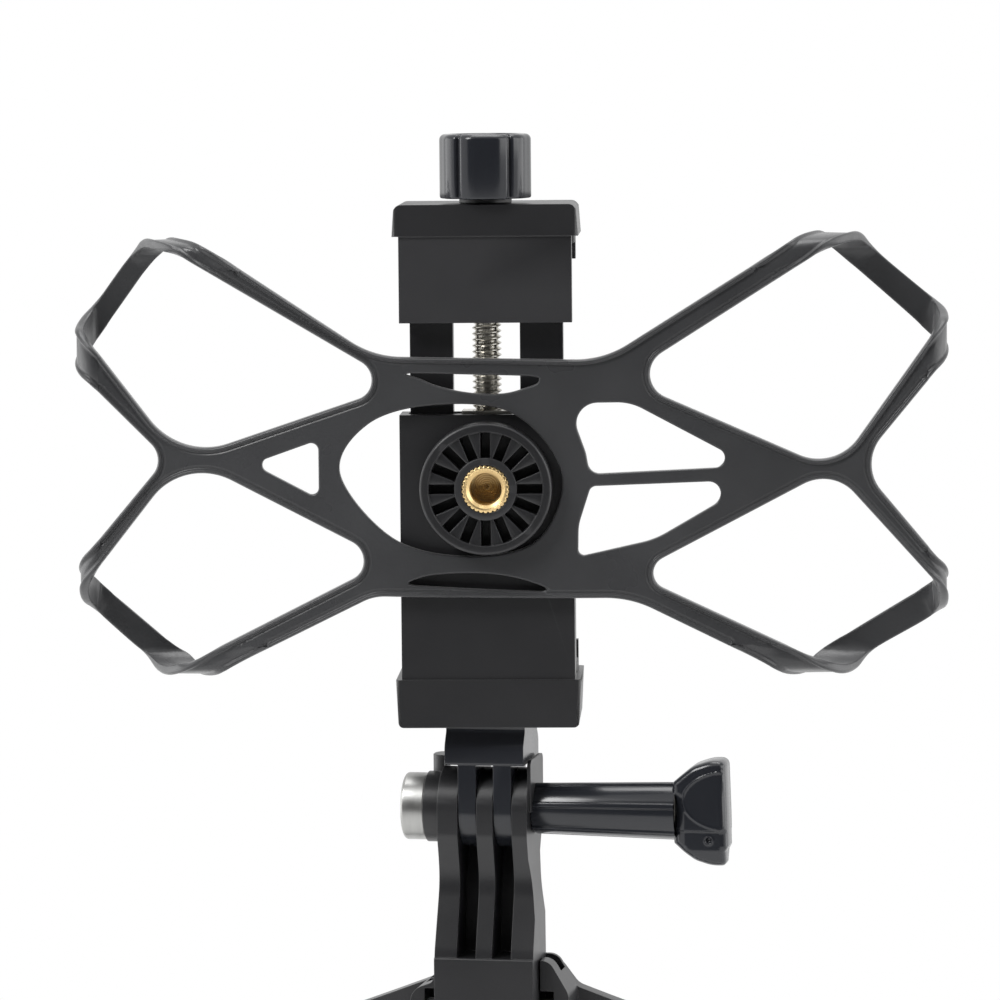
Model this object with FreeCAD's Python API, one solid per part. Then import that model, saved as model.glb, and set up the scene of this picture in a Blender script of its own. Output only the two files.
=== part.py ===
"""Helmet phone mount: curved stick-on base, hook arm, two-prong hinge, screw clamp and stretch web.

Every piece is built about the hinge: X runs along the clamp, +Y away from the viewer, +Z up,
with the tilt axis at y = 0, z = 0 and the clamp's stud on x = 0, y = 0. The hinge, arm and base are
then turned by BASE_TURN about the stud, and the whole part is moved so that its origin lies on the
helmet side of the adhesive pad. Lengths are in millimetres.
"""
import FreeCAD, Part
import math
import os

V = FreeCAD.Vector

# Clearances, and how far a cut or a joined piece runs past a face
GAP = 0.3
SLIDE_GAP = 0.25
RUN_GAP = 0.05
FACE_GAP = 0.1
OVER = 1.0
CLOSE = 0.000001
FAR = 40.0

# Held space between the jaw pads
SPACE_LEFT = -67.5
SPACE_RIGHT = 75.6
SPACE_DEPTH = 8.0
SPACE_HEIGHT = 70.1

# Clamp body
CLAMP_FRONT = -10.0
CLAMP_BACK = -1.2
BODY_HALF = 14.5
BODY_TOP = 67.4
BLOCK_HALF = 15.5
BLOCK_PROUD = 0.4
BLOCK_DEPTH = 20.4
BLOCK_BOTTOM = 14.9
LOWER_BLOCK_HEIGHT = 8.1
UPPER_BLOCK_HEIGHT = 5.3
LOWER_PAD = 1.9
UPPER_PAD = 1.9
PAD_HALF = 14.6
PAD_STEP = 0.2
LIP_THICK = 1.8
LIP_HEIGHT = 2.6
BLOCK_ROUND = 0.8
BLOCK_DRAFT = 0.4
LOWER_BLOCK_ROUND = 0.9
UPPER_BLOCK_ROUND = 1.3
COVER_THICK = 1.2
COVER_HALF = 13.3
COVER_MARGIN = 1.4
COVER_SCREW_HEAD_R = 1.5
COVER_SCREW_R = 0.8
COVER_SCREW_LENGTH = 3.4
COVER_SCREW_HALF = 3.6
COVER_SCREW_SINK = 1.0
COVER_SCREW_SLOT_HALF = 0.2
COVER_SCREW_SLOT_DEPTH = 0.5

# Upper jaw
PLATE_HALF = 14.4
PLATE_HEIGHT = 14.4
PLATE_THICK = 3.1
LEG_INNER = 5.6
LEG_WIDTH = 7.2
LEG_THICK = 3.6
LEG_BOTTOM = 32.0
JAW_CLOSE = 14.0

# Clamp screw and knob
SCREW_Y = -5.1
SCREW_R = 2.45
SCREW_TIP = 0.5
SCREW_END = 45.0
NUT_HALF = 4.2
NUT_DEPTH = 5.2
NUT_HEIGHT = 4.0
NUT_STAND = 0.5
CLIP_R = 3.8
CLIP_THICK = 0.9
CLIP_PLAY = 0.15
WASHER_R = 4.4
WASHER_THICK = 0.8
KNOB_R = 7.6
KNOB_HEIGHT = 10.7
KNOB_GROOVES = 5
KNOB_GROOVE_R = 0.6
KNOB_GROOVE_OUT = 0.1
KNOB_ROUND = 0.9
KNOB_DISH_R = 5.6
KNOB_DISH = 0.4
KNOB_CAP = 3.0

# Accessory boss on the front, with its brass thread
BOSS_Z = 55.4
BOSS_R = 11.0
BOSS_PROUD = 5.5
BOSS_SPIGOT_R = 6.0
BOSS_SPIGOT_DEPTH = 2.0
BOSS_RIM_R = 9.45
BOSS_HUB_R = 5.2
BOSS_GROOVES = 16
BOSS_GROOVE_WIDTH = 1.5
BOSS_GROOVE_DEPTH = 3.2
BOSS_STEP = 0.4
BOSS_EDGE = 0.5
INSERT_R = 3.95
INSERT_BORE_R = 2.6
INSERT_LENGTH = 7.2
INSERT_BORE_DEPTH = 6.0
INSERT_PROUD = 0.15
INSERT_FLANGE = 0.6
INSERT_POINT = 0.9
KNURL_TEETH = 30
KNURL_DEPTH = 0.3
INSERT_CHAMFER = 0.5

# Stud that carries the clamp, and the insert it turns in
STUD_R = 3.1
STUD_TOP = 20.6
STUD_HEAD_R = 5.0
STUD_HEAD_HEIGHT = 2.6
STUD_HEAD_BOTTOM = 9.0
BASE_INSERT_R = 4.4
BASE_INSERT_HEIGHT = 6.6

# Two-prong adapter
HEAD_HALF = 6.75
HEAD_DEPTH = 13.6
HEAD_SHOULDER = 11.2
HEAD_TOP_DEPTH = 9.6
HEAD_FLARE = 0.8
HEAD_NECK = 0.6
HEAD_ROUND = 2.2
HEAD_NECK_ROUND = 1.2
HEAD_EDGE_ROUND = 0.4

# Hinge knuckle: three prongs on the arm, two on the adapter
KNUCKLE_R = 6.9
KNUCKLE_GAP = 1.1
SIDE_GAP = 0.1
MIDDLE_PRONG = 2.8
SLOT_WIDTH = 3.25
NUT_PRONG = 3.5
FREE_PRONG = 2.6
BOLT_R = 2.45
BOLT_HOLE_R = 2.5

# Guards beside the hinge head
GUARD_TOP = 8.8
GUARD_THICK = 0.5
GUARD_FRONT = -5.6
GUARD_BACK = 5.6
GUARD_ROUND = 1.2
LUG_OUT = 2.2
LUG_FRONT = -0.6
LUG_BACK = 4.8
LUG_HEIGHT = 6.0
LUG_ROUND = 2.0

# Nut side
NUT_BOSS_R = 6.0
NUT_BOSS_LENGTH = 2.7
METAL_NUT_R = 5.7
METAL_NUT_LENGTH = 5.2
METAL_NUT_SEAT = 1.2
METAL_NUT_SEAT_STEP = 0.2
METAL_NUT_ROUND = 0.6
METAL_NUT_CAP = 1.5
BOLT_END_GAP = 0.7

# Thumbscrew
GRIP_SHAFT_R = 4.5
GRIP_SHAFT_END_R = 5.1
GRIP_SHAFT_LENGTH = 23.6
GRIP_FLUTES = 8
GRIP_FLUTE_R = 1.0
GRIP_FLUTE_OUT = 0.2
WING_LENGTH = 9.25
WING_HALF = 8.9
WING_THICK = 7.4
WING_NECK_HALF = 5.4
WING_ROUND = 1.0
WING_SHOULDER = 5.5
WING_SHOULDER_ROUND = 4.0
COLLAR_LENGTH = 3.0
BOLT_GRIP_DEPTH = 20.0

# Hook arm
ARM_WAIST_Y = -4.6
ARM_WAIST_Z = -12.0
ARM_THICK = 7.2
ARM_FOOT_Y = -8.4
ARM_FOOT_Z = -23.6
ARM_BACK_WALL = 2.2
ARM_CHANNEL_FOOT_Y = -0.8
ARM_NECK_Z = -4.0
ARM_SHOULDER_Z = -8.0
ARM_WIDE_Z = -18.0
ARM_NECK_ROUND = 3.0
ARM_WAIST_ROUND = 9.0
ARM_FOOT_ROUND = 6.0
BLOCK_FRONT_Y = -8.8
BLOCK_FOOT_ROUND = 3.0
ARM_BLOCK_TOP = -24.5
ARM_BLOCK_HALF = 8.5
TONGUE_HALF = 11.4
TONGUE_THICK = 3.0
TONGUE_BOTTOM = -56.0
TONGUE_TOP = -33.0
TONGUE_ROUND = 3.0
TONGUE_TOP_ROUND = 1.5

# Helmet base
RECEIVER_TOP = -25.4
RECEIVER_HALF = 10.4
RECEIVER_FOOT_HALF = 13.4
RECEIVER_FRONT = -4.2
RECEIVER_SHOULDER = 5.6
GUIDE_TOP_HALF = 8.2
GUIDE_NECK_HALF = 9.9
GUIDE_NECK_DROP = 4.2
GUIDE_ROUND = 1.0
PLATE_DROP = 1.5
RECEIVER_WALL = 2.0
RECEIVER_FLOOR = 2.4
RECEIVER_ROUND = 2.4
RECEIVER_SIDE_ROUND = 3.0
LIP_INNER_GAP = 0.3
WINDOW_TOP = -30.6
WINDOW_HEIGHT = 2.2
WINDOW_WIDTH = 2.3
BASE_THICK = 3.4
BASE_HALF = 42.0
BASE_TIP_TOP = -42.3
BASE_TIP_BOTTOM = -55.0
BASE_BOTTOM = -60.0
BASE_TIP_ROUND = 6.0
BASE_FOOT_ROUND = 120.0
HELMET_R = 110.0
PAD_THICK = 1.5
PAD_MARGIN = 1.5
BASE_TURN = -9.0

# Stretch web
WEB_THICK = 2.0
WEB_FLAT_HALF = 15.0
WEB_BEND_ROUND = 60.0
WEB_OUTLINE = [
    (-49.7, 97.3, 0), (-18.7, 77.3, 16), (19.6, 76.5, 16), (53.3, 97.3, 0),
    (61.0, 97.3, 0), (22.6, 73.4, 4.2), (58.1, 57.4, 8), (77.9, 84.8, 0),
    (77.9, 77.3, 0), (62.1, 58.4, 7), (77.9, 39.3, 0), (77.9, 35.0, 0),
    (57.6, 57.7, 7), (24.2, 40.7, 2.8), (61.3, 22.6, 0), (51.5, 22.6, 0),
    (23.8, 36.7, 18), (-19.0, 37.2, 8), (-48.1, 22.6, 0), (-56.4, 22.6, 0),
    (-15.3, 42.6, 3.5), (-50.7, 59.9, 11), (-69.8, 36.6, 0), (-69.8, 41.5, 0),
    (-54.1, 59.8, 3.7), (-69.8, 75.3, 0), (-69.8, 83.1, 0), (-51.4, 58.2, 12),
    (-14.2, 72.6, 3.4), (-57.0, 97.3, 0),
]
WEB_EGG = [(-24.3, 57.0), (-19.5, 65.4), (-8.5, 68.7), (4.5, 67.3),
           (12.5, 57.5), (8.7, 46.5), (-2.5, 43.5), (-15.5, 46.2)]
WEB_WINDOWS = [
    [(-39.2, 58.1, 1.2), (-27.7, 62.7, 1.2), (-27.7, 52.6, 1.2)],
    [(13.6, 69.4, 3.5), (24.0, 69.4, 9), (40.8, 60.2, 1.6), (38.6, 58.2, 1.2),
     (17.2, 57.5, 2.0), (16.6, 61.0, 6)],
    [(17.4, 55.5, 1.2), (39.6, 56.0, 2.0), (38.6, 52.4, 2.5), (28.0, 46.4, 14),
     (15.2, 43.7, 1.0), (15.3, 49.0, 8)],
    [(-13.6, 74.5, 0.4), (9.8, 73.8, 0.5), (1.8, 71.0, 4), (-4.5, 71.0, 6)],
    [(-14.6, 39.4, 0.5), (-7.5, 42.0, 8), (0.5, 41.4, 12), (10.6, 38.7, 0.3)],
]
# Where each corner loop leaves the front sheet: along the long edge, then along the short edge
WEB_LOOPS = [
    {"long": (-57.0, -49.7), "short": (75.3, 83.1), "side": -1, "up": 1},
    {"long": (53.3, 61.0), "short": (77.3, 84.8), "side": 1, "up": 1},
    {"long": (51.5, 61.3), "short": (35.0, 39.3), "side": 1, "up": -1},
    {"long": (-56.4, -48.1), "short": (36.6, 41.5), "side": -1, "up": -1},
]

# Values worked out from the sizes above
LOWER_BLOCK_TOP = BLOCK_BOTTOM + LOWER_BLOCK_HEIGHT
SPACE_BOTTOM = LOWER_BLOCK_TOP + LOWER_PAD + FACE_GAP
SPACE_TOP = SPACE_BOTTOM + SPACE_HEIGHT
UPPER_BLOCK_BOTTOM = SPACE_TOP + UPPER_PAD + FACE_GAP
UPPER_BLOCK_TOP = UPPER_BLOCK_BOTTOM + UPPER_BLOCK_HEIGHT
BLOCK_FRONT = CLAMP_FRONT - BLOCK_PROUD
BLOCK_BACK = BLOCK_FRONT + BLOCK_DEPTH
PLATE_BACK = CLAMP_FRONT + PLATE_THICK
LEG_BACK = PLATE_BACK + LEG_THICK
COVER_FRONT = CLAMP_BACK - COVER_THICK
SPACE_FRONT = CLAMP_BACK + PAD_STEP
SPACE_BACK = SPACE_FRONT + SPACE_DEPTH
KNOB_BOTTOM = UPPER_BLOCK_TOP + FACE_GAP + WASHER_THICK
NUT_TOP = BODY_TOP + NUT_STAND
HEAD_BOTTOM = KNUCKLE_R + KNUCKLE_GAP
HEAD_TOP = BLOCK_BOTTOM - FACE_GAP
MID_HALF = MIDDLE_PRONG / 2
SLOT_OUTER = MID_HALF + SLOT_WIDTH
LEFT_FACE = -(SLOT_OUTER + NUT_PRONG)
RIGHT_FACE = SLOT_OUTER + FREE_PRONG
NUT_BOSS_END = LEFT_FACE - NUT_BOSS_LENGTH
METAL_NUT_FACE = NUT_BOSS_END - METAL_NUT_LENGTH + METAL_NUT_SEAT
GRIP_START = RIGHT_FACE + GUARD_THICK + FACE_GAP
GRIP_SHAFT_END = GRIP_START + GRIP_SHAFT_LENGTH
TONGUE_FRONT = 0.0
TONGUE_BACK = TONGUE_FRONT + TONGUE_THICK
BASE_FRONT = TONGUE_BACK + GAP
BASE_BACK = BASE_FRONT + BASE_THICK
PAD_BACK = BASE_BACK + PAD_THICK
PAD_CENTRE_Z = (RECEIVER_TOP + BASE_BOTTOM) / 2


def box(x0, x1, y0, y1, z0, z1):
    """Box between two corners."""
    return Part.makeBox(x1 - x0, y1 - y0, z1 - z0, V(x0, y0, z0))


def rod_x(radius, x0, x1, y=0.0, z=0.0):
    """Round bar along X."""
    return Part.makeCylinder(radius, x1 - x0, V(x0, y, z), V(1, 0, 0))


def rod_y(radius, y0, y1, x=0.0, z=0.0):
    """Round bar along Y."""
    return Part.makeCylinder(radius, y1 - y0, V(x, y0, z), V(0, 1, 0))


def rod_z(radius, z0, z1, x=0.0, y=0.0):
    """Round bar along Z."""
    return Part.makeCylinder(radius, z1 - z0, V(x, y, z0), V(0, 0, 1))


def rounded_wire(corners, place):
    """Closed wire of straight edges and corner arcs; corners are (u, v, radius), place maps u, v to space."""
    count = len(corners)
    tangents = []
    for i, (u, v, radius) in enumerate(corners):
        here = V(u, v, 0)
        before = V(*corners[i - 1][:2], 0)
        after = V(*corners[(i + 1) % count][:2], 0)
        back = (before - here).normalize()
        on = (after - here).normalize()
        if radius == 0:
            tangents.append((here, None, here))
            continue
        half = back.getAngle(on) / 2
        reach = radius / math.tan(half)
        bisector = (back + on).normalize()
        middle = here + bisector * (radius / math.sin(half) - radius)
        tangents.append((here + back * reach, middle, here + on * reach))
    edges = []
    for i, (start, middle, end) in enumerate(tangents):
        if middle is not None:
            points = [place(p.x, p.y) for p in (start, middle, end)]
            edges.append(Part.Arc(*points).toShape())
        following = tangents[(i + 1) % count][0]
        if (following - end).Length > CLOSE:
            edges.append(Part.makeLine(place(end.x, end.y), place(following.x, following.y)))
    return Part.Wire(edges)


def slab_xz(corners, y0, y1):
    """Plate with a rounded outline in X and Z, between two depths."""
    wire = rounded_wire(corners, lambda u, v: V(u, y0, v))
    return Part.Face(wire).extrude(V(0, y1 - y0, 0))


def slab_yz(corners, x0, x1):
    """Plate with a rounded outline in Y and Z, between two sides."""
    wire = rounded_wire(corners, lambda u, v: V(x0, u, v))
    return Part.Face(wire).extrude(V(x1 - x0, 0, 0))


def slab_xy(corners, z0, z1):
    """Plate with a rounded outline in X and Y, between two heights."""
    wire = rounded_wire(corners, lambda u, v: V(u, v, z0))
    return Part.Face(wire).extrude(V(0, 0, z1 - z0))


def join(*shapes):
    """One solid out of several that overlap."""
    first, rest = shapes[0], list(shapes[1:])
    return first.fuse(rest).removeSplitter()


def lip(z0, z1):
    """Small upstand on the far edge of a jaw, that hooks over what is held."""
    return box(-PAD_HALF, PAD_HALF, BLOCK_BACK - LIP_THICK, BLOCK_BACK, z0, z1)


def jaw_block(inner, outer, outer_round):
    """Jaw bar from its inner face to its outer one, with rounded edges and a little draft."""
    corners = [(-BLOCK_HALF, BLOCK_FRONT, BLOCK_ROUND), (BLOCK_HALF, BLOCK_FRONT, BLOCK_ROUND),
               (BLOCK_HALF, BLOCK_BACK, BLOCK_ROUND), (-BLOCK_HALF, BLOCK_BACK, BLOCK_ROUND)]
    outer_half = BLOCK_HALF - BLOCK_DRAFT
    front = slab_xz([(-BLOCK_HALF, inner, 0), (BLOCK_HALF, inner, 0), (outer_half, outer, outer_round),
                     (-outer_half, outer, outer_round)], -FAR, FAR)
    return slab_xy(corners, min(inner, outer), max(inner, outer)).common(front)


def clamp_body():
    """Hollow fixed half of the clamp: front shell, lower jaw and lip, with channels for the legs."""
    shell = box(-BODY_HALF, BODY_HALF, CLAMP_FRONT, CLAMP_BACK, BLOCK_BOTTOM + OVER, BODY_TOP)
    body = join(shell, jaw_block(LOWER_BLOCK_TOP, BLOCK_BOTTOM, LOWER_BLOCK_ROUND),
                lip(BLOCK_BOTTOM + OVER, SPACE_BOTTOM + LIP_HEIGHT))
    channel_bottom = LEG_BOTTOM - JAW_CLOSE - SLIDE_GAP
    cover_bottom = LOWER_BLOCK_TOP + COVER_MARGIN
    cover_top = BODY_TOP - COVER_MARGIN
    cuts = [box(-COVER_HALF - FACE_GAP, COVER_HALF + FACE_GAP, COVER_FRONT - FACE_GAP, 0,
                cover_bottom - FACE_GAP, cover_top + FACE_GAP)]
    for side in (-1, 1):
        inner = side * (LEG_INNER - SLIDE_GAP)
        outer = side * (LEG_INNER + LEG_WIDTH + SLIDE_GAP)
        cuts.append(box(min(inner, outer), max(inner, outer), PLATE_BACK - SLIDE_GAP,
                        LEG_BACK + SLIDE_GAP, channel_bottom, BODY_TOP + OVER))
    channel_half = SCREW_R + 2 * GAP
    cuts.append(box(-channel_half, channel_half, SCREW_Y - channel_half, COVER_FRONT,
                    SCREW_END - JAW_CLOSE - OVER, BODY_TOP + OVER))
    nut_front = SCREW_Y - NUT_DEPTH / 2
    cuts.append(box(-NUT_HALF, NUT_HALF, nut_front, nut_front + NUT_DEPTH,
                    NUT_TOP - NUT_HEIGHT, NUT_TOP + OVER))
    cuts.append(rod_y(BOSS_SPIGOT_R, CLAMP_FRONT - OVER, CLAMP_FRONT + BOSS_SPIGOT_DEPTH, z=BOSS_Z))
    cuts.append(rod_z(BASE_INSERT_R, BLOCK_BOTTOM - OVER, BLOCK_BOTTOM + BASE_INSERT_HEIGHT))
    for x, z in cover_screw_places():
        cuts.append(rod_y(COVER_SCREW_R, COVER_FRONT - COVER_SCREW_LENGTH, 0, x=x, z=z))
    return body.cut(cuts)


def cover_screw_places():
    """Centres of the four cover screws, beside the screw channel."""
    low = LOWER_BLOCK_TOP + COVER_MARGIN + COVER_SCREW_HALF
    high = NUT_TOP - NUT_HEIGHT - COVER_SCREW_HALF
    return [(side * (COVER_SCREW_HALF + COVER_SCREW_R), z) for side in (-1, 1) for z in (low, high)]


def back_cover():
    """Flat cover that closes the leg channels and backs the held space."""
    z0 = LOWER_BLOCK_TOP + COVER_MARGIN
    z1 = BODY_TOP - COVER_MARGIN
    cover = box(-COVER_HALF, COVER_HALF, COVER_FRONT, CLAMP_BACK, z0, z1)
    cuts = []
    for x, z in cover_screw_places():
        cuts.append(rod_y(COVER_SCREW_R + FACE_GAP, COVER_FRONT - OVER, 0, x=x, z=z))
        cuts.append(Part.makeCone(COVER_SCREW_R + FACE_GAP, COVER_SCREW_HEAD_R, COVER_SCREW_SINK,
                                  V(x, CLAMP_BACK - COVER_SCREW_SINK, z), V(0, 1, 0)))
    return cover.cut(cuts)


def cover_screws():
    """Four countersunk screws through the cover."""
    screws = []
    for x, z in cover_screw_places():
        shank = rod_y(COVER_SCREW_R, COVER_FRONT - COVER_SCREW_LENGTH, CLAMP_BACK - FACE_GAP, x=x, z=z)
        head = Part.makeCone(COVER_SCREW_R, COVER_SCREW_HEAD_R - FACE_GAP, COVER_SCREW_SINK - FACE_GAP,
                             V(x, CLAMP_BACK - COVER_SCREW_SINK, z), V(0, 1, 0))
        screw = join(shank, head)
        for angle in (0, 90):
            slot = box(-COVER_SCREW_R, COVER_SCREW_R, CLAMP_BACK - COVER_SCREW_SLOT_DEPTH, CLAMP_BACK,
                       -COVER_SCREW_SLOT_HALF, COVER_SCREW_SLOT_HALF)
            slot.rotate(V(0, 0, 0), V(0, 1, 0), angle)
            slot.translate(V(x, 0, z))
            screw = screw.cut(slot)
        screws.append(screw)
    return Part.makeCompound(screws)


def jaw_pad(z0, z1):
    """Rubber strip that the held edge rests on."""
    return box(-PAD_HALF, PAD_HALF, SPACE_FRONT, BLOCK_BACK - LIP_THICK, z0, z1)


def lower_jaw_pad():
    """Rubber strip on the lower jaw."""
    return jaw_pad(LOWER_BLOCK_TOP, LOWER_BLOCK_TOP + LOWER_PAD)


def upper_jaw_pad():
    """Rubber strip under the upper jaw."""
    return jaw_pad(UPPER_BLOCK_BOTTOM - UPPER_PAD, UPPER_BLOCK_BOTTOM)


def upper_jaw():
    """Sliding jaw: bar, lip, front plate and the two legs that run down into the body."""
    plate = box(-PLATE_HALF, PLATE_HALF, CLAMP_FRONT, PLATE_BACK,
                UPPER_BLOCK_BOTTOM - PLATE_HEIGHT, UPPER_BLOCK_TOP - OVER)
    pieces = [jaw_block(UPPER_BLOCK_BOTTOM, UPPER_BLOCK_TOP, UPPER_BLOCK_ROUND), plate,
              lip(SPACE_TOP - LIP_HEIGHT, UPPER_BLOCK_TOP - OVER)]
    for side in (-1, 1):
        inner = side * LEG_INNER
        outer = side * (LEG_INNER + LEG_WIDTH)
        pieces.append(box(min(inner, outer), max(inner, outer), PLATE_BACK, LEG_BACK,
                          LEG_BOTTOM, UPPER_BLOCK_TOP - OVER))
    jaw = join(*pieces)
    hole_bottom = UPPER_BLOCK_BOTTOM - PLATE_HEIGHT - OVER
    screw_hole = rod_z(SCREW_R + RUN_GAP, hole_bottom, UPPER_BLOCK_TOP + OVER, y=SCREW_Y)
    clip_room = rod_z(CLIP_R + GAP, hole_bottom,
                      UPPER_BLOCK_BOTTOM + CLIP_THICK + 2 * CLIP_PLAY, y=SCREW_Y)
    return jaw.cut([screw_hole, clip_room])


def screw_nut():
    """Trapped plate nut in the top of the body."""
    front = SCREW_Y - NUT_DEPTH / 2
    plate = box(-NUT_HALF, NUT_HALF, front, front + NUT_DEPTH, NUT_TOP - NUT_HEIGHT, NUT_TOP)
    return plate.cut(rod_z(SCREW_R + RUN_GAP, 0, NUT_TOP + OVER, y=SCREW_Y))


def clamp_screw():
    """Steel screw that draws the upper jaw down; its fine thread is left to the finish."""
    tip = Part.makeCone(SCREW_R - SCREW_TIP, SCREW_R, SCREW_TIP, V(0, SCREW_Y, SCREW_END), V(0, 0, 1))
    shaft = rod_z(SCREW_R, SCREW_END + SCREW_TIP, KNOB_BOTTOM + KNOB_HEIGHT - KNOB_CAP, y=SCREW_Y)
    return join(shaft, tip)


def screw_clip():
    """Retaining ring on the screw, inside the upper jaw."""
    z0 = UPPER_BLOCK_BOTTOM + CLIP_PLAY
    ring = rod_z(CLIP_R, z0, z0 + CLIP_THICK, y=SCREW_Y)
    return ring.cut(rod_z(SCREW_R, z0 - OVER, z0 + 2 * OVER, y=SCREW_Y))


def knob_washer():
    """Thin washer between the knob and the upper jaw."""
    z0 = UPPER_BLOCK_TOP + FACE_GAP
    ring = rod_z(WASHER_R, z0, z0 + WASHER_THICK, y=SCREW_Y)
    return ring.cut(rod_z(SCREW_R, z0 - OVER, z0 + 2 * OVER, y=SCREW_Y))


def clamp_knob():
    """Fluted knob with a rounded top edge and a shallow dish."""
    z1 = KNOB_BOTTOM + KNOB_HEIGHT
    knob = rod_z(KNOB_R, KNOB_BOTTOM, z1, y=SCREW_Y)
    top_edge = [e for e in knob.Edges if e.BoundBox.ZMin > KNOB_BOTTOM + OVER]
    knob = knob.makeFillet(KNOB_ROUND, top_edge)
    cuts = [rod_z(KNOB_DISH_R, z1 - KNOB_DISH, z1 + OVER, y=SCREW_Y),
            rod_z(SCREW_R, KNOB_BOTTOM - OVER, z1 - KNOB_CAP, y=SCREW_Y)]
    for i in range(KNOB_GROOVES):
        angle = math.radians((i + 0.5) * 360 / KNOB_GROOVES)
        reach = KNOB_R + KNOB_GROOVE_OUT
        cuts.append(rod_z(KNOB_GROOVE_R, KNOB_BOTTOM - OVER, z1 + OVER,
                          reach * math.sin(angle), SCREW_Y - reach * math.cos(angle)))
    return knob.cut(cuts)


def accessory_boss():
    """Round boss on the clamp's front: rim, hub and sixteen radial grooves about the brass thread."""
    front = CLAMP_FRONT - BOSS_PROUD
    edge = Part.makeCone(BOSS_R - BOSS_EDGE, BOSS_R, BOSS_EDGE, V(0, front, BOSS_Z), V(0, 1, 0))
    boss = join(edge, rod_y(BOSS_R, front + BOSS_EDGE, CLAMP_FRONT, z=BOSS_Z),
                rod_y(BOSS_SPIGOT_R, CLAMP_FRONT - OVER, CLAMP_FRONT + BOSS_SPIGOT_DEPTH, z=BOSS_Z))
    hub = rod_y(BOSS_HUB_R, front - 2 * OVER, CLAMP_FRONT, z=BOSS_Z)
    cuts = [rod_y(BOSS_RIM_R, front - OVER, front + BOSS_STEP, z=BOSS_Z).cut(hub)]
    for i in range(BOSS_GROOVES):
        groove = box(-BOSS_GROOVE_WIDTH / 2, BOSS_GROOVE_WIDTH / 2, front - OVER, front + BOSS_GROOVE_DEPTH,
                     BOSS_HUB_R - OVER, BOSS_RIM_R - BOSS_STEP)
        groove.rotate(V(0, 0, 0), V(0, 1, 0), i * 360 / BOSS_GROOVES)
        groove.translate(V(0, 0, BOSS_Z))
        cuts.append(groove.cut(hub))
    cuts.append(rod_y(INSERT_R - KNURL_DEPTH, front - OVER, front + INSERT_LENGTH, z=BOSS_Z))
    cuts.append(rod_y(INSERT_R, front - OVER, front + INSERT_FLANGE, z=BOSS_Z))
    return boss.cut(cuts)


def accessory_insert():
    """Knurled blind brass insert with the accessory thread."""
    front = CLAMP_FRONT - BOSS_PROUD
    face = front - INSERT_PROUD
    flange = rod_y(INSERT_R, face, front + INSERT_FLANGE, z=BOSS_Z)
    notches = []
    for i in range(KNURL_TEETH):
        angle = math.radians(i * 360 / KNURL_TEETH)
        notches.append(rod_y(KNURL_DEPTH, face - OVER, front + OVER,
                             INSERT_R * math.sin(angle), BOSS_Z + INSERT_R * math.cos(angle)))
    flange = flange.cut(notches)
    body = rod_y(INSERT_R - KNURL_DEPTH, front, front + INSERT_LENGTH, z=BOSS_Z)
    insert = join(flange, body)
    mouth = Part.makeCone(INSERT_BORE_R + INSERT_CHAMFER, INSERT_BORE_R, INSERT_CHAMFER,
                          V(0, face, BOSS_Z), V(0, 1, 0))
    point = Part.makeCone(INSERT_BORE_R, 0, INSERT_POINT, V(0, face + INSERT_BORE_DEPTH, BOSS_Z), V(0, 1, 0))
    return insert.cut([rod_y(INSERT_BORE_R, face - OVER, face + INSERT_BORE_DEPTH, z=BOSS_Z), mouth, point])


def base_insert():
    """Brass bush in the lower jaw, that the stud turns in."""
    bush = rod_z(BASE_INSERT_R, BLOCK_BOTTOM, BLOCK_BOTTOM + BASE_INSERT_HEIGHT)
    return bush.cut(rod_z(STUD_R + RUN_GAP, BLOCK_BOTTOM - OVER, STUD_TOP + 2 * FACE_GAP))


def tripod_stud():
    """Steel stud moulded into the adapter's head."""
    head = rod_z(STUD_HEAD_R, STUD_HEAD_BOTTOM, STUD_HEAD_BOTTOM + STUD_HEAD_HEIGHT)
    return join(rod_z(STUD_R, STUD_HEAD_BOTTOM, STUD_TOP), head)


def hinge_adapter():
    """Two prongs under a rounded head that narrows to the clamp's underside."""
    half = HEAD_DEPTH / 2
    top_half = HEAD_TOP_DEPTH / 2
    neck = HEAD_TOP - HEAD_NECK
    side = [(-half, HEAD_BOTTOM, HEAD_EDGE_ROUND), (half, HEAD_BOTTOM, HEAD_EDGE_ROUND),
            (half, HEAD_SHOULDER, HEAD_ROUND), (top_half, neck, HEAD_NECK_ROUND),
            (top_half + HEAD_FLARE, HEAD_TOP, 0), (-top_half - HEAD_FLARE, HEAD_TOP, 0),
            (-top_half, neck, HEAD_NECK_ROUND), (-half, HEAD_SHOULDER, HEAD_ROUND)]
    head = slab_yz(side, -HEAD_HALF, HEAD_HALF)
    pieces = [head]
    for sign in (-1, 1):
        inner = sign * (MID_HALF + SIDE_GAP)
        outer = sign * (SLOT_OUTER - SIDE_GAP)
        x0, x1 = min(inner, outer), max(inner, outer)
        pieces.append(rod_x(KNUCKLE_R - GAP, x0, x1))
        pieces.append(box(x0, x1, -(KNUCKLE_R - GAP), KNUCKLE_R - GAP, 0, HEAD_BOTTOM + OVER))
    adapter = join(*pieces)
    stud_room = join(rod_z(STUD_R, STUD_HEAD_BOTTOM, STUD_TOP),
                     rod_z(STUD_HEAD_R, STUD_HEAD_BOTTOM, STUD_HEAD_BOTTOM + STUD_HEAD_HEIGHT))
    return adapter.cut([rod_x(BOLT_HOLE_R, -HEAD_HALF, HEAD_HALF), stud_room])


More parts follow.
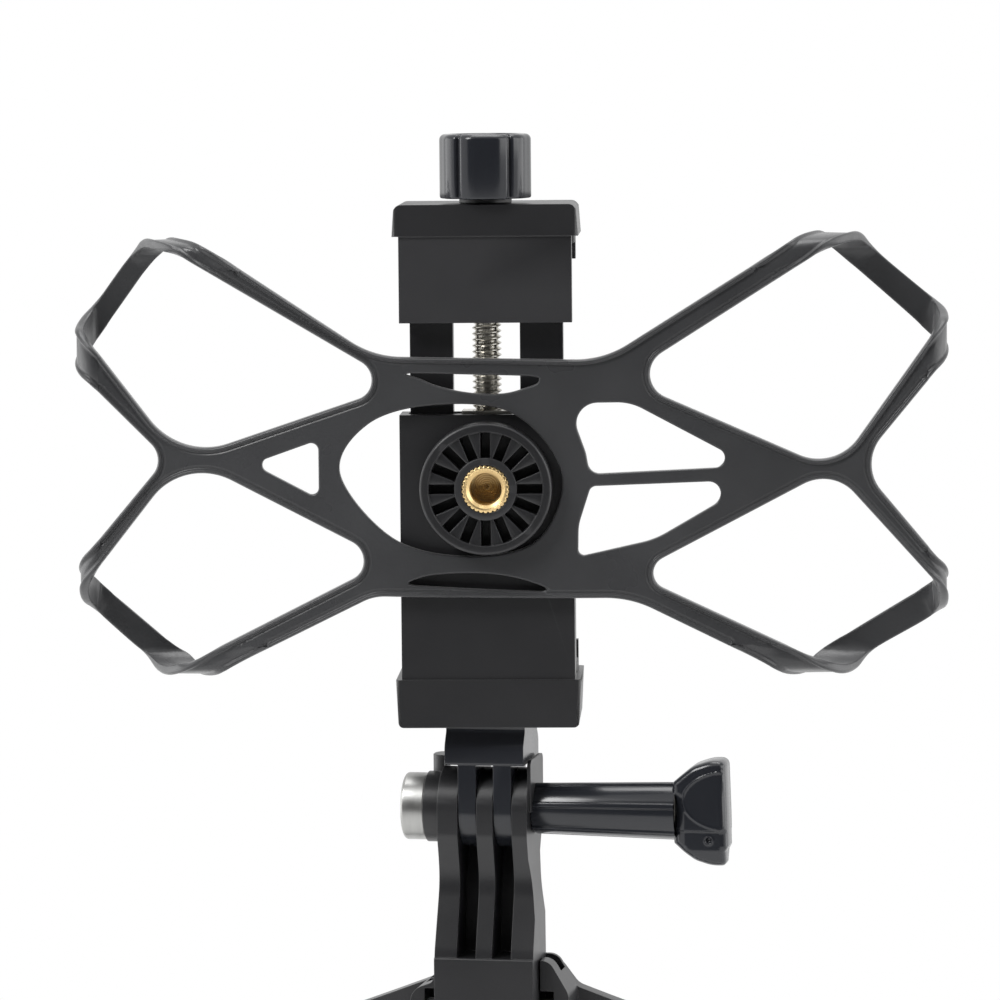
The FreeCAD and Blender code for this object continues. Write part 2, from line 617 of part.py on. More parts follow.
def arm_profile():
    """Side view of the hook arm below the knuckle, front edge then back edge."""
    back_waist = ARM_WAIST_Y + ARM_THICK
    return [(-KNUCKLE_R, 0, 0), (-KNUCKLE_R, ARM_NECK_Z, ARM_NECK_ROUND),
            (ARM_WAIST_Y, ARM_WAIST_Z, ARM_WAIST_ROUND), (ARM_FOOT_Y, ARM_FOOT_Z, ARM_FOOT_ROUND),
            (ARM_FOOT_Y, ARM_BLOCK_TOP - OVER, 0), (TONGUE_BACK, ARM_BLOCK_TOP - OVER, 0),
            (TONGUE_BACK, ARM_BLOCK_TOP, 2), (back_waist, ARM_WAIST_Z - OVER, ARM_WAIST_ROUND),
            (KNUCKLE_R, ARM_NECK_Z, ARM_NECK_ROUND), (KNUCKLE_R, 0, 0)]


def hook_arm():
    """Ribbed arm: three prongs, ribs down the front, a buckle block and the tongue behind it."""
    outline = [(LEFT_FACE, OVER, 0), (RIGHT_FACE, OVER, 0), (RIGHT_FACE, ARM_SHOULDER_Z, 0),
               (ARM_BLOCK_HALF, ARM_WIDE_Z, 0), (ARM_BLOCK_HALF, ARM_BLOCK_TOP - OVER, 0),
               (-ARM_BLOCK_HALF, ARM_BLOCK_TOP - OVER, 0), (LEFT_FACE, ARM_SHOULDER_Z, 0)]
    arm = slab_yz(arm_profile(), -2 * ARM_BLOCK_HALF, 2 * ARM_BLOCK_HALF)
    arm = arm.common(slab_xz(outline, -FAR, FAR))
    knuckle = rod_x(KNUCKLE_R, LEFT_FACE, RIGHT_FACE)
    block = slab_yz([(BLOCK_FRONT_Y, ARM_BLOCK_TOP, HEAD_EDGE_ROUND), (TONGUE_BACK, ARM_BLOCK_TOP, 0),
                     (TONGUE_BACK, TONGUE_BOTTOM, 0), (BLOCK_FRONT_Y, TONGUE_BOTTOM, BLOCK_FOOT_ROUND)],
                    -ARM_BLOCK_HALF, ARM_BLOCK_HALF)
    tongue = slab_xz([(-TONGUE_HALF, TONGUE_TOP, TONGUE_TOP_ROUND),
                      (TONGUE_HALF, TONGUE_TOP, TONGUE_TOP_ROUND),
                      (TONGUE_HALF, TONGUE_BOTTOM, TONGUE_ROUND),
                      (-TONGUE_HALF, TONGUE_BOTTOM, TONGUE_ROUND)], TONGUE_FRONT, TONGUE_BACK)
    boss = rod_x(NUT_BOSS_R, NUT_BOSS_END, LEFT_FACE)
    lug = slab_xy([(LEFT_FACE - LUG_OUT, LUG_FRONT, LUG_ROUND), (LEFT_FACE + OVER, LUG_FRONT, 0),
                   (LEFT_FACE + OVER, LUG_BACK, 0), (LEFT_FACE - LUG_OUT, LUG_BACK, LUG_ROUND)],
                  GUARD_TOP - LUG_HEIGHT, GUARD_TOP)
    lug = lug.cut(rod_x(KNUCKLE_R + KNUCKLE_GAP, LEFT_FACE, 0))
    guard = slab_yz([(GUARD_FRONT, 0, 0), (GUARD_BACK, 0, 0), (GUARD_BACK, GUARD_TOP, GUARD_ROUND),
                     (GUARD_FRONT, GUARD_TOP, GUARD_ROUND)], RIGHT_FACE - FACE_GAP, RIGHT_FACE + GUARD_THICK)
    arm = join(arm, knuckle, block, tongue, boss, lug, guard)
    cuts = []
    back_wall = arm_channel_profile()
    for sign in (-1, 1):
        x0 = min(sign * MID_HALF, sign * SLOT_OUTER)
        x1 = max(sign * MID_HALF, sign * SLOT_OUTER)
        cuts.append(rod_x(KNUCKLE_R + GAP, x0, x1))
        cuts.append(box(x0, x1, -FAR, FAR, 0, FAR))
        cuts.append(slab_yz(back_wall, x0, x1))
    cuts.append(rod_x(BOLT_HOLE_R, NUT_BOSS_END - OVER, RIGHT_FACE + OVER))
    cuts.append(rod_x(METAL_NUT_R - METAL_NUT_SEAT_STEP, NUT_BOSS_END - OVER, NUT_BOSS_END + METAL_NUT_SEAT))
    return arm.cut(cuts)


def arm_channel_profile():
    """Side view of the space between two ribs, open to the front."""
    floor_waist = ARM_WAIST_Y + ARM_THICK - ARM_BACK_WALL
    neck = KNUCKLE_R - ARM_BACK_WALL
    return [(-FAR, 0, 0), (-FAR, ARM_BLOCK_TOP, 0), (ARM_CHANNEL_FOOT_Y, ARM_BLOCK_TOP, 0),
            (floor_waist, ARM_WAIST_Z - OVER, ARM_WAIST_ROUND), (neck, ARM_NECK_Z, 0), (neck, 0, 0)]


def hinge_nut():
    """Round metal nut seated in the arm's boss."""
    seat = rod_x(METAL_NUT_R - METAL_NUT_SEAT_STEP, NUT_BOSS_END, NUT_BOSS_END + METAL_NUT_SEAT)
    cap = rod_x(METAL_NUT_R, METAL_NUT_FACE, NUT_BOSS_END)
    outer = [e for e in cap.Edges if e.BoundBox.XMax < METAL_NUT_FACE + OVER]
    cap = cap.makeFillet(METAL_NUT_ROUND, outer)
    return join(seat, cap).cut(rod_x(BOLT_HOLE_R, METAL_NUT_FACE + METAL_NUT_CAP, 0))


def thumbscrew_bolt():
    """Steel bolt from the nut, through the hinge and into the grip."""
    return rod_x(BOLT_R, METAL_NUT_FACE + METAL_NUT_CAP + BOLT_END_GAP, GRIP_START + BOLT_GRIP_DEPTH)


def thumbscrew_grip():
    """Moulded grip: long fluted shaft and a winged head with an oval pad on each face."""
    shaft = Part.makeCone(GRIP_SHAFT_R, GRIP_SHAFT_END_R, GRIP_SHAFT_LENGTH + OVER,
                          V(GRIP_START, 0, 0), V(1, 0, 0))
    flutes = []
    for i in range(GRIP_FLUTES):
        angle = math.radians((i + 0.5) * 360 / GRIP_FLUTES)
        reach = GRIP_SHAFT_END_R + GRIP_FLUTE_OUT
        flutes.append(rod_x(GRIP_FLUTE_R, GRIP_START + OVER, GRIP_SHAFT_END - OVER,
                            reach * math.cos(angle), reach * math.sin(angle)))
    shaft = shaft.cut(flutes)
    end = GRIP_SHAFT_END + WING_LENGTH
    shoulder = GRIP_SHAFT_END + WING_SHOULDER
    side = [(GRIP_SHAFT_END, -WING_NECK_HALF, WING_ROUND), (shoulder, -WING_HALF, WING_SHOULDER_ROUND),
            (end, -WING_HALF, WING_ROUND), (end, WING_HALF, WING_ROUND),
            (shoulder, WING_HALF, WING_SHOULDER_ROUND), (GRIP_SHAFT_END, WING_NECK_HALF, WING_ROUND)]
    wing = slab_xz(side, -WING_THICK / 2, WING_THICK / 2)
    collar = rod_x(WING_NECK_HALF, GRIP_SHAFT_END, GRIP_SHAFT_END + COLLAR_LENGTH)
    grip = join(shaft, wing, collar)
    return grip.cut(rod_x(BOLT_R, GRIP_START - OVER, GRIP_START + BOLT_GRIP_DEPTH))


def base_outline(inset=0.0):
    """Front view of the base plate, or of the pad where it is inset: plate top and a wing to each side."""
    top = RECEIVER_TOP - PLATE_DROP
    wing = [(RECEIVER_FOOT_HALF, RECEIVER_TOP - RECEIVER_SHOULDER, RECEIVER_SIDE_ROUND),
            (BASE_HALF, BASE_TIP_TOP, BASE_TIP_ROUND), (BASE_HALF, BASE_TIP_BOTTOM, BASE_TIP_ROUND)]
    left_wing = [(-x, z, r) for x, z, r in reversed(wing)]
    guide = [(-GUIDE_NECK_HALF, RECEIVER_TOP - GUIDE_NECK_DROP, GUIDE_ROUND),
             (-GUIDE_TOP_HALF, top, GUIDE_ROUND)]
    corners = ([(RECEIVER_HALF, top, RECEIVER_ROUND)] + wing
               + [(0, BASE_BOTTOM, BASE_FOOT_ROUND)] + left_wing + guide)
    shrunk = []
    for x, z, radius in corners:
        x_in = x - math.copysign(inset, x) if x else 0
        z_in = z - math.copysign(inset, z - PAD_CENTRE_Z)
        shrunk.append((x_in, z_in, radius))
    return shrunk


def curved_shell(y0, y1):
    """Shell between two upright cylinders that share the helmet's curve; y0 and y1 are at the middle."""
    centre = PAD_BACK + HELMET_R
    outer = rod_z(centre - y0, BASE_BOTTOM - OVER, RECEIVER_TOP + OVER, y=centre)
    return outer.cut(rod_z(centre - y1, BASE_BOTTOM - 2 * OVER, RECEIVER_TOP + 2 * OVER, y=centre))


def helmet_base():
    """Curved base plate with the receiver that holds the arm's tongue."""
    plate = slab_xz(base_outline(), -FAR, FAR).common(curved_shell(BASE_FRONT, BASE_BACK))
    rail_half = TONGUE_HALF + GAP + RECEIVER_WALL
    shoulder = RECEIVER_TOP - RECEIVER_SHOULDER
    foot = TONGUE_BOTTOM - RECEIVER_FLOOR
    receiver = slab_xz([(RECEIVER_HALF, RECEIVER_TOP, RECEIVER_ROUND),
                        (rail_half, shoulder, RECEIVER_SIDE_ROUND), (rail_half, foot, RECEIVER_WALL),
                        (-rail_half, foot, RECEIVER_WALL), (-rail_half, shoulder, RECEIVER_SIDE_ROUND),
                        (-GUIDE_NECK_HALF, RECEIVER_TOP - GUIDE_NECK_DROP, GUIDE_ROUND),
                        (-GUIDE_TOP_HALF, RECEIVER_TOP, GUIDE_ROUND)],
                       RECEIVER_FRONT, BASE_FRONT + OVER)
    base = join(plate, receiver)
    mouth = ARM_BLOCK_HALF + LIP_INNER_GAP
    cuts = [box(-mouth, mouth, RECEIVER_FRONT - OVER, BASE_FRONT, TONGUE_BOTTOM - GAP, RECEIVER_TOP + OVER),
            box(-TONGUE_HALF - GAP, TONGUE_HALF + GAP, TONGUE_FRONT - GAP, BASE_FRONT,
                TONGUE_BOTTOM - GAP, RECEIVER_TOP + OVER)]
    for sign in (-1, 1):
        x0 = min(sign * mouth, sign * (mouth + WINDOW_WIDTH))
        cuts.append(box(x0, x0 + WINDOW_WIDTH, RECEIVER_FRONT - OVER, TONGUE_FRONT,
                        WINDOW_TOP - WINDOW_HEIGHT, WINDOW_TOP))
    return base.cut(cuts)


def adhesive_pad():
    """Curved foam pad that sticks the base to the helmet."""
    pad = slab_xz(base_outline(PAD_MARGIN), -FAR, FAR)
    return pad.common(curved_shell(BASE_BACK, PAD_BACK))


def web_depths():
    """Plan view of the stretched web: flat over the clamp, then back to the ends of the held space."""
    back = CLAMP_FRONT - GAP
    edge = SPACE_FRONT - GAP
    left = SPACE_LEFT - GAP - WEB_THICK
    right = SPACE_RIGHT + GAP + WEB_THICK
    return [(left, edge, 0), (-WEB_FLAT_HALF, back, WEB_BEND_ROUND),
            (WEB_FLAT_HALF, back, WEB_BEND_ROUND), (right, edge, 0),
            (right, edge - WEB_THICK, 0), (WEB_FLAT_HALF, back - WEB_THICK, WEB_BEND_ROUND),
            (-WEB_FLAT_HALF, back - WEB_THICK, WEB_BEND_ROUND), (left, edge - WEB_THICK, 0)]


def silicone_web():
    """Stretch web in its pulled shape: windowed front sheet and a loop behind each corner."""
    sheet = slab_xz(WEB_OUTLINE, -FAR, FAR)
    egg = Part.BSplineCurve()
    egg.interpolate([V(x, -FAR, z) for x, z in WEB_EGG], PeriodicFlag=True)
    holes = [Part.Face(Part.Wire(egg.toShape())).extrude(V(0, 2 * FAR, 0))]
    holes += [slab_xz(window, -FAR, FAR) for window in WEB_WINDOWS]
    sheet = sheet.cut(holes)
    sheet = sheet.common(slab_xy(web_depths(), 0, KNOB_BOTTOM))
    pieces = [sheet]
    back = SPACE_BACK + GAP
    for loop in WEB_LOOPS:
        long0, long1 = loop["long"]
        short0, short1 = loop["short"]
        if loop["up"] > 0:
            z_in = SPACE_TOP + GAP
        else:
            z_in = SPACE_BOTTOM - GAP
        z_out = z_in + loop["up"] * WEB_THICK
        if loop["side"] > 0:
            x_in = SPACE_RIGHT + GAP
        else:
            x_in = SPACE_LEFT - GAP
        x_out = x_in + loop["side"] * WEB_THICK
        front_long = web_front((long0 + long1) / 2)
        pieces.append(box(long0, long1, front_long, back + WEB_THICK, min(z_in, z_out), max(z_in, z_out)))
        pieces.append(box(min(x_in, x_out), max(x_in, x_out), SPACE_FRONT - GAP - WEB_THICK,
                          back + WEB_THICK, short0, short1))
        near, far = (long0, long1) if loop["side"] > 0 else (long1, long0)
        low, high = (short0, short1) if loop["up"] > 0 else (short1, short0)
        strip = [(near, z_out, 0), (far, z_out, 0), (x_out, high, 0), (x_out, low, 0)]
        pieces.append(slab_xz(strip, back, back + WEB_THICK))
    return join(*pieces)


def web_front(x):
    """Depth of the web's back face at a place along the clamp."""
    edge = SPACE_FRONT - GAP
    back = CLAMP_FRONT - GAP
    reach = (SPACE_RIGHT if x > 0 else -SPACE_LEFT) + GAP + WEB_THICK
    share = (abs(x) - WEB_FLAT_HALF) / (reach - WEB_FLAT_HALF)
    return back + share * (edge - back) - WEB_THICK / 2


CLAMP_NODES = {
    "clamp_body": clamp_body, "back_cover": back_cover, "cover_screws": cover_screws,
    "lower_jaw_pad": lower_jaw_pad, "upper_jaw": upper_jaw, "upper_jaw_pad": upper_jaw_pad,
    "screw_nut": screw_nut, "clamp_screw": clamp_screw, "screw_clip": screw_clip,
    "knob_washer": knob_washer, "clamp_knob": clamp_knob, "accessory_boss": accessory_boss,
    "accessory_insert": accessory_insert, "base_insert": base_insert, "silicone_web": silicone_web,
}
TURNED_NODES = {
    "tripod_stud": tripod_stud, "hinge_adapter": hinge_adapter, "hook_arm": hook_arm,
    "hinge_nut": hinge_nut, "thumbscrew_bolt": thumbscrew_bolt, "thumbscrew_grip": thumbscrew_grip,
    "helmet_base": helmet_base, "adhesive_pad": adhesive_pad,
}


def main():
    """Build each piece, put it in the part's frame and write it out."""
    os.makedirs("parts", exist_ok=True)
    turn = FreeCAD.Rotation(V(0, 0, 1), BASE_TURN)
    origin = turn.multVec(V(0, PAD_BACK, PAD_CENTRE_Z))
    for name, make in list(CLAMP_NODES.items()) + list(TURNED_NODES.items()):
        shape = make()
        if name in TURNED_NODES:
            shape.rotate(V(0, 0, 0), V(0, 0, 1), BASE_TURN)
        shape.translate(origin * -1)
        shape.exportStep("parts/" + name + ".step")
        size = shape.BoundBox
        print(name, shape.isValid(), len(shape.Solids), round(shape.Volume, 1),
              round(size.XMin, 1), round(size.XMax, 1), round(size.YMin, 1), round(size.YMax, 1),
              round(size.ZMin, 1), round(size.ZMax, 1))


main()
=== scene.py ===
"""Looks of the helmet phone mount: eased mouldings, stretch web, threaded screw and thumbscrew.

Sizes in the classes are millimetres about the hinge: X along the clamp, +Y away from the viewer,
+Z up, with the tilt axis at y = 0, z = 0. A Place turns them into the part's frame, in metres.
"""
import logging
import math
from dataclasses import dataclass, field
from enum import Enum
from typing import Sequence

import bmesh
import bpy
import numpy as np
from mathutils import Matrix, Vector
from mathutils.bvhtree import BVHTree
from mathutils.kdtree import KDTree
from mathutils.geometry import delaunay_2d_cdt


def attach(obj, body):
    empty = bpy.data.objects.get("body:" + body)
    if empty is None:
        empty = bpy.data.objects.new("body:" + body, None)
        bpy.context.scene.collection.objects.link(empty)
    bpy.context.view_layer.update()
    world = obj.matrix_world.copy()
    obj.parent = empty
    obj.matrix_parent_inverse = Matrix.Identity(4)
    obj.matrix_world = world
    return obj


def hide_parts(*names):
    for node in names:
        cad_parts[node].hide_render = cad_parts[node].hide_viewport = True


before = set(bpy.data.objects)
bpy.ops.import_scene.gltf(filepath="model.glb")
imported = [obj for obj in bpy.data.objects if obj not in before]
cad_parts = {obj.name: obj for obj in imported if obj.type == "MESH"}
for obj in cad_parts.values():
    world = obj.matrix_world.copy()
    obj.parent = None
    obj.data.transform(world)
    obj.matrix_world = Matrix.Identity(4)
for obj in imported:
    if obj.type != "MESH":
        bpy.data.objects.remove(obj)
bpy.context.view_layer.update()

LOG = logging.getLogger("helmet_mount")
MM = 0.001
EASE_SHARES = (1.0, 0.65, 0.4, 0.22)
EASE_REACH = 0.75
EDGE_STEPS = (0.0, 0.12, 0.27, 0.45, 0.62, 0.78, 0.95, 1.2, 1.5)

Corner = tuple[float, float, float]
Point2 = tuple[float, float]


class Axis(Enum):
    """The axis that a turned piece is turned about."""

    X = 0
    Y = 1
    Z = 2


class Rim(Enum):
    """How an edge of the web is finished."""

    BEAD = "raised bead"
    PLAIN = "thin rounded edge"
    OPEN = "runs on into a corner loop"


@dataclass(frozen=True)
class Place:
    """Where a sub-assembly stands: its turn about the clamp's stud, in degrees."""

    turn: float

    def to_part(self, points: np.ndarray) -> np.ndarray:
        """Move points from the maker's millimetres into the part's metres.

        Args:
            points: Rows of x, y, z in millimetres about the hinge.

        Returns:
            Rows of x, y, z in metres in the part's frame.
        """
        angle = math.radians(self.turn)
        turned = np.array(points, float)
        x = turned[:, 0].copy()
        y = turned[:, 1].copy()
        turned[:, 0] = x * math.cos(angle) - y * math.sin(angle)
        turned[:, 1] = x * math.sin(angle) + y * math.cos(angle)
        return (turned + np.array(HINGE)) * MM


HINGE = (-1.2827, -8.0990, 42.7)
CLAMP_PLACE = Place(0.0)
BASE_PLACE = Place(-9.0)


class Graph:
    """A material's node graph, with short calls to add and join nodes."""

    def __init__(self, name: str) -> None:
        """Start a material of that name with a Principled shader."""
        self.material = bpy.data.materials.new(name)
        self.material.use_nodes = True
        self.tree = self.material.node_tree
        self.shader = self.tree.nodes["Principled BSDF"]
        self.place = self.tree.nodes.new("ShaderNodeTexCoord").outputs["Object"]

    def join(self, start: bpy.types.NodeSocket, end: bpy.types.NodeSocket) -> None:
        """Link two sockets."""
        self.tree.links.new(start, end)

    def noise(self, scale: float, detail: float,
              stretch: Sequence[float] = (1, 1, 1)) -> bpy.types.NodeSocket:
        """Add a noise texture in the object's own metres.

        Args:
            scale: Waves per metre.
            detail: Octaves of detail.
            stretch: Scale on each axis.

        Returns:
            The noise's factor socket.
        """
        mapping = self.tree.nodes.new("ShaderNodeMapping")
        mapping.inputs["Scale"].default_value = stretch
        self.join(self.place, mapping.inputs["Vector"])
        texture = self.tree.nodes.new("ShaderNodeTexNoise")
        texture.inputs["Scale"].default_value = scale
        texture.inputs["Detail"].default_value = detail
        self.join(mapping.outputs["Vector"], texture.inputs["Vector"])
        return texture.outputs["Fac"]

    def spread(self, value: bpy.types.NodeSocket, low: float, high: float,
               start: float = 0.3, end: float = 0.7) -> bpy.types.NodeSocket:
        """Map a factor to a range.

        Args:
            value: The factor.
            low: Result at start.
            high: Result at end.
            start: Factor that gives low.
            end: Factor that gives high.

        Returns:
            The mapped socket.
        """
        node = self.tree.nodes.new("ShaderNodeMapRange")
        node.inputs["From Min"].default_value = start
        node.inputs["From Max"].default_value = end
        node.inputs["To Min"].default_value = low
        node.inputs["To Max"].default_value = high
        self.join(value, node.inputs["Value"])
        return node.outputs["Result"]

    def tint(self, value: bpy.types.NodeSocket, dark: Sequence[float], light: Sequence[float]) -> None:
        """Colour the shader between two colours by a factor."""
        mix = self.tree.nodes.new("ShaderNodeMix")
        mix.data_type = "RGBA"
        mix.inputs["A"].default_value = (*dark, 1)
        mix.inputs["B"].default_value = (*light, 1)
        self.join(value, mix.inputs["Factor"])
        self.join(mix.outputs["Result"], self.shader.inputs["Base Color"])

    def soft_edge(self, radius: float) -> bpy.types.NodeSocket:
        """Round the shading at edges, as a mould's own radius does, and return the normal."""
        node = self.tree.nodes.new("ShaderNodeBevel")
        node.samples = 6
        node.inputs["Radius"].default_value = radius
        return node.outputs["Normal"]

    def bump(self, layers: Sequence[tuple[bpy.types.NodeSocket, float]],
             normal: bpy.types.NodeSocket | None = None) -> None:
        """Stack bumps, each a height factor and its depth in metres, on the normal given."""
        for height, depth in layers:
            node = self.tree.nodes.new("ShaderNodeBump")
            node.inputs["Strength"].default_value = 1.0
            node.inputs["Distance"].default_value = depth
            self.join(height, node.inputs["Height"])
            if normal is not None:
                self.join(normal, node.inputs["Normal"])
            normal = node.outputs["Normal"]
        self.join(normal, self.shader.inputs["Normal"])


@dataclass(frozen=True)
class MouldedPlastic:
    """Black moulded plastic: fine spark texture, mottled gloss and edges painted paler as a highlight."""

    name: str
    colour: tuple[float, float, float]
    gloss: float
    grain: float
    grain_depth: float
    # How much paler the painted highlight makes the convex edges.
    edge_highlight: float = 0.35
    edge_radius: float = 0.00022

    def material(self) -> bpy.types.Material:
        """Return the plastic's material."""
        graph = Graph(self.name)
        graph.shader.inputs["IOR"].default_value = 1.5
        cloud = graph.noise(55, 3)
        graph.join(graph.spread(cloud, self.gloss - 0.05, self.gloss + 0.05),
                   graph.shader.inputs["Roughness"])
        # Convex edges, found by pointiness, are tinted paler: a painted highlight along every edge.
        edge = graph.tree.nodes.new("ShaderNodeNewGeometry").outputs["Pointiness"]
        painted_edge_highlight = graph.spread(edge, 0, self.edge_highlight, 0.52, 0.6)
        graph.tint(painted_edge_highlight, self.colour, tuple(min(1, c * 2.2 + 0.03) for c in self.colour))
        graph.bump([(graph.noise(self.grain, 2), self.grain_depth), (graph.noise(140, 2), 0.00002)],
                   graph.soft_edge(self.edge_radius))
        return graph.material


@dataclass(frozen=True)
class SoftRubber:
    """Silicone, rubber or foam: matt, grained, with a faint bloom on the surface."""

    name: str
    colour: tuple[float, float, float]
    rough: float
    grain: float
    grain_depth: float
    sheen: float = 0.15

    def material(self) -> bpy.types.Material:
        """Return the rubber's material."""
        graph = Graph(self.name)
        graph.shader.inputs["IOR"].default_value = 1.42
        graph.shader.inputs["Sheen Weight"].default_value = self.sheen
        graph.shader.inputs["Sheen Roughness"].default_value = 0.5
        cloud = graph.noise(35, 4)
        graph.tint(graph.spread(cloud, 0, 1), self.colour, tuple(c * 1.35 + 0.004 for c in self.colour))
        graph.join(graph.spread(graph.noise(90, 3), self.rough - 0.06, self.rough + 0.06),
                   graph.shader.inputs["Roughness"])
        graph.bump([(graph.noise(self.grain, 3), self.grain_depth),
                    (graph.noise(self.grain / 4, 2), self.grain_depth)])
        return graph.material


@dataclass(frozen=True)
class TurnedMetal:
    """Turned or plated metal, with fine tool lines across an axis."""

    name: str
    colour: tuple[float, float, float]
    rough: float
    lines: tuple[float, float, float]
    grain_depth: float

    def material(self) -> bpy.types.Material:
        """Return the metal's material."""
        graph = Graph(self.name)
        graph.shader.inputs["Metallic"].default_value = 1.0
        streak = graph.noise(120, 3, self.lines)
        graph.tint(graph.spread(streak, 0, 1), tuple(c * 0.86 for c in self.colour), self.colour)
        graph.join(graph.spread(graph.noise(260, 2), self.rough - 0.05, self.rough + 0.08),
                   graph.shader.inputs["Roughness"])
        graph.bump([(streak, self.grain_depth), (graph.noise(1500, 2), self.grain_depth)])
        return graph.material


class Finish(Enum):
    """Every finish on the mount."""

    SATIN = MouldedPlastic("satin_black_moulding", (0.016, 0.016, 0.0175), 0.37, 2600, 0.000012)
    GLOSS = MouldedPlastic("gloss_black_moulding", (0.017, 0.0185, 0.023), 0.2, 900, 0.000004)
    WEB = SoftRubber("web_silicone", (0.036, 0.0365, 0.0385), 0.31, 1500, 0.00002)
    PAD = SoftRubber("pad_rubber", (0.06, 0.06, 0.06), 0.7, 1800, 0.00003)
    FOAM = SoftRubber("pad_foam", (0.045, 0.045, 0.045), 0.9, 1400, 0.00012)
    SCREW = TurnedMetal("screw_steel", (0.62, 0.6, 0.55), 0.28, (1, 1, 8), 0.000006)
    NUT = TurnedMetal("nut_steel", (0.4, 0.4, 0.39), 0.34, (8, 1, 1), 0.000008)
    BRASS = TurnedMetal("brass_insert", (0.78, 0.57, 0.28), 0.34, (1, 8, 1), 0.000006)


class Paint:
    """Makes each finish's material once and puts it on pieces."""

    def __init__(self) -> None:
        """Start with no material made."""
        self.made: dict[Finish, bpy.types.Material] = {}

    def of(self, finish: Finish) -> bpy.types.Material:
        """Return the finish's material, made at first use."""
        if finish not in self.made:
            self.made[finish] = finish.value.material()
        return self.made[finish]

    def dress(self, piece: bpy.types.Object, finish: Finish) -> None:
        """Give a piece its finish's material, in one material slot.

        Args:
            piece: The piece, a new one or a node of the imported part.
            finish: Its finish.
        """
        piece.data.materials.clear()
        piece.data.materials.append(self.of(finish))


class Blank:
    """A mesh in the making, in millimetres about the hinge."""

    def __init__(self) -> None:
        """Start empty."""
        self.points: list[np.ndarray] = []
        self.faces: list[tuple[int, ...]] = []
        self.count = 0

    def add(self, points: np.ndarray, faces: Sequence[Sequence[int]]) -> None:
        """Add points and the faces between them.

        Args:
            points: Rows of x, y, z in millimetres.
            faces: Rows of indices into points.
        """
        self.faces += [tuple(int(i) + self.count for i in face) for face in faces]
        self.points.append(np.array(points, float))
        self.count += len(points)

    def grid(self, rows: np.ndarray, close_rows: bool = False, close_columns: bool = False) -> None:
        """Add a grid of quads.

        Args:
            rows: Points as rows by columns by x, y, z.
            close_rows: Join the last row to the first.
            close_columns: Join the last column to the first.
        """
        high, wide = rows.shape[:2]
        faces = []
        for r in range(high if close_rows else high - 1):
            for c in range(wide if close_columns else wide - 1):
                r1, c1 = (r + 1) % high, (c + 1) % wide
                faces.append((r * wide + c, r * wide + c1, r1 * wide + c1, r1 * wide + c))
        self.add(rows.reshape(-1, 3), faces)

    def lathe(self, profile: Sequence[Point2], axis: Axis, centre: Sequence[float], steps: int = 96) -> None:
        """Add a turned form.

        Args:
            profile: Radius and place along the axis, from one end to the other.
            axis: The axis it is turned about.
            centre: A point that the axis runs through; its place along the axis is added.
            steps: Sides round the axis.
        """
        turn = np.linspace(0, 2 * math.pi, steps, endpoint=False)
        rows = np.zeros((len(profile), steps, 3))
        u, v = [i for i in range(3) if i != axis.value]
        for r, (radius, along) in enumerate(profile):
            rows[r, :, axis.value] = along + centre[axis.value]
            rows[r, :, u] = centre[u] + radius * np.cos(turn)
            rows[r, :, v] = centre[v] + radius * np.sin(turn)
        self.grid(rows, close_columns=True)

    def thread(self, root: float, crest: float, pitch: float, start: float, end: float,
               axis: Axis, centre: Sequence[float], steps: int = 32) -> None:
        """Add a helical thread.

        Args:
            root: Radius at the bottom of the groove.
            crest: Radius at the top of the thread.
            pitch: Advance in one turn.
            start: Where it starts along the axis.
            end: Where it ends along the axis.
            axis: The thread's axis.
            centre: A point that the axis runs through.
            steps: Steps in one turn.
        """
        turns = int((end - start) / pitch)
        count = turns * steps
        u, v = [i for i in range(3) if i != axis.value]
        profile = ((root, 0.0), (root, 0.14), (crest, 0.46), (crest, 0.6), (root, 0.92))
        points = np.zeros((count, len(profile), 3))
        turn = np.arange(count) * 2 * math.pi / steps
        for j, (radius, share) in enumerate(profile):
            points[:, j, axis.value] = start + (np.arange(count) / steps + share) * pitch + centre[axis.value]
            points[:, j, u] = centre[u] + radius * np.cos(turn)
            points[:, j, v] = centre[v] + radius * np.sin(turn)
        wide = len(profile)
        faces = []
        for k in range(count - 1):
            for j in range(wide - 1):
                faces.append((k * wide + j, k * wide + j + 1, (k + 1) * wide + j + 1, (k + 1) * wide + j))
            if k + steps + 1 < count:
                faces.append((k * wide + wide - 1, (k + steps) * wide, (k + steps + 1) * wide,
                              (k + 1) * wide + wide - 1))
        self.add(points.reshape(-1, 3), faces)

    def piece(self, name: str, place: Place, smooth: float = 35.0) -> bpy.types.Object:
        """Make the Blender object.

        Args:
            name: The piece's name.
            place: Where it stands.
            smooth: Edges sharper than this many degrees stay sharp.

        Returns:
            The new object, in the part's frame.
        """
        points = place.to_part(np.concatenate(self.points))
        mesh = bpy.data.meshes.new(name)
        mesh.from_pydata(points.tolist(), [], self.faces)
        work = bmesh.new()
        work.from_mesh(mesh)
        bmesh.ops.remove_doubles(work, verts=work.verts, dist=0.002 * MM)
        bmesh.ops.recalc_face_normals(work, faces=work.faces)
        work.to_mesh(mesh)
        work.free()
        return link(name, mesh, smooth)


def link(name: str, mesh: bpy.types.Mesh, smooth: float = 35.0) -> bpy.types.Object:
    """Put a mesh in the scene as a smooth-shaded object.

    Args:
        name: The object's name.
        mesh: Its mesh.
        smooth: Edges sharper than this many degrees stay sharp.

    Returns:
        The new object.
    """
    piece = bpy.data.objects.new(name, mesh)
    bpy.context.scene.collection.objects.link(piece)
    mesh.shade_smooth()
    mesh.set_sharp_from_angle(angle=math.radians(smooth))
    return piece


def applied(piece: bpy.types.Object) -> None:
    """Apply a piece's modifiers to its mesh."""
    bpy.context.view_layer.update()
    shaped = bpy.data.meshes.new_from_object(piece.evaluated_get(bpy.context.evaluated_depsgraph_get()))
    piece.modifiers.clear()
    piece.data = shaped


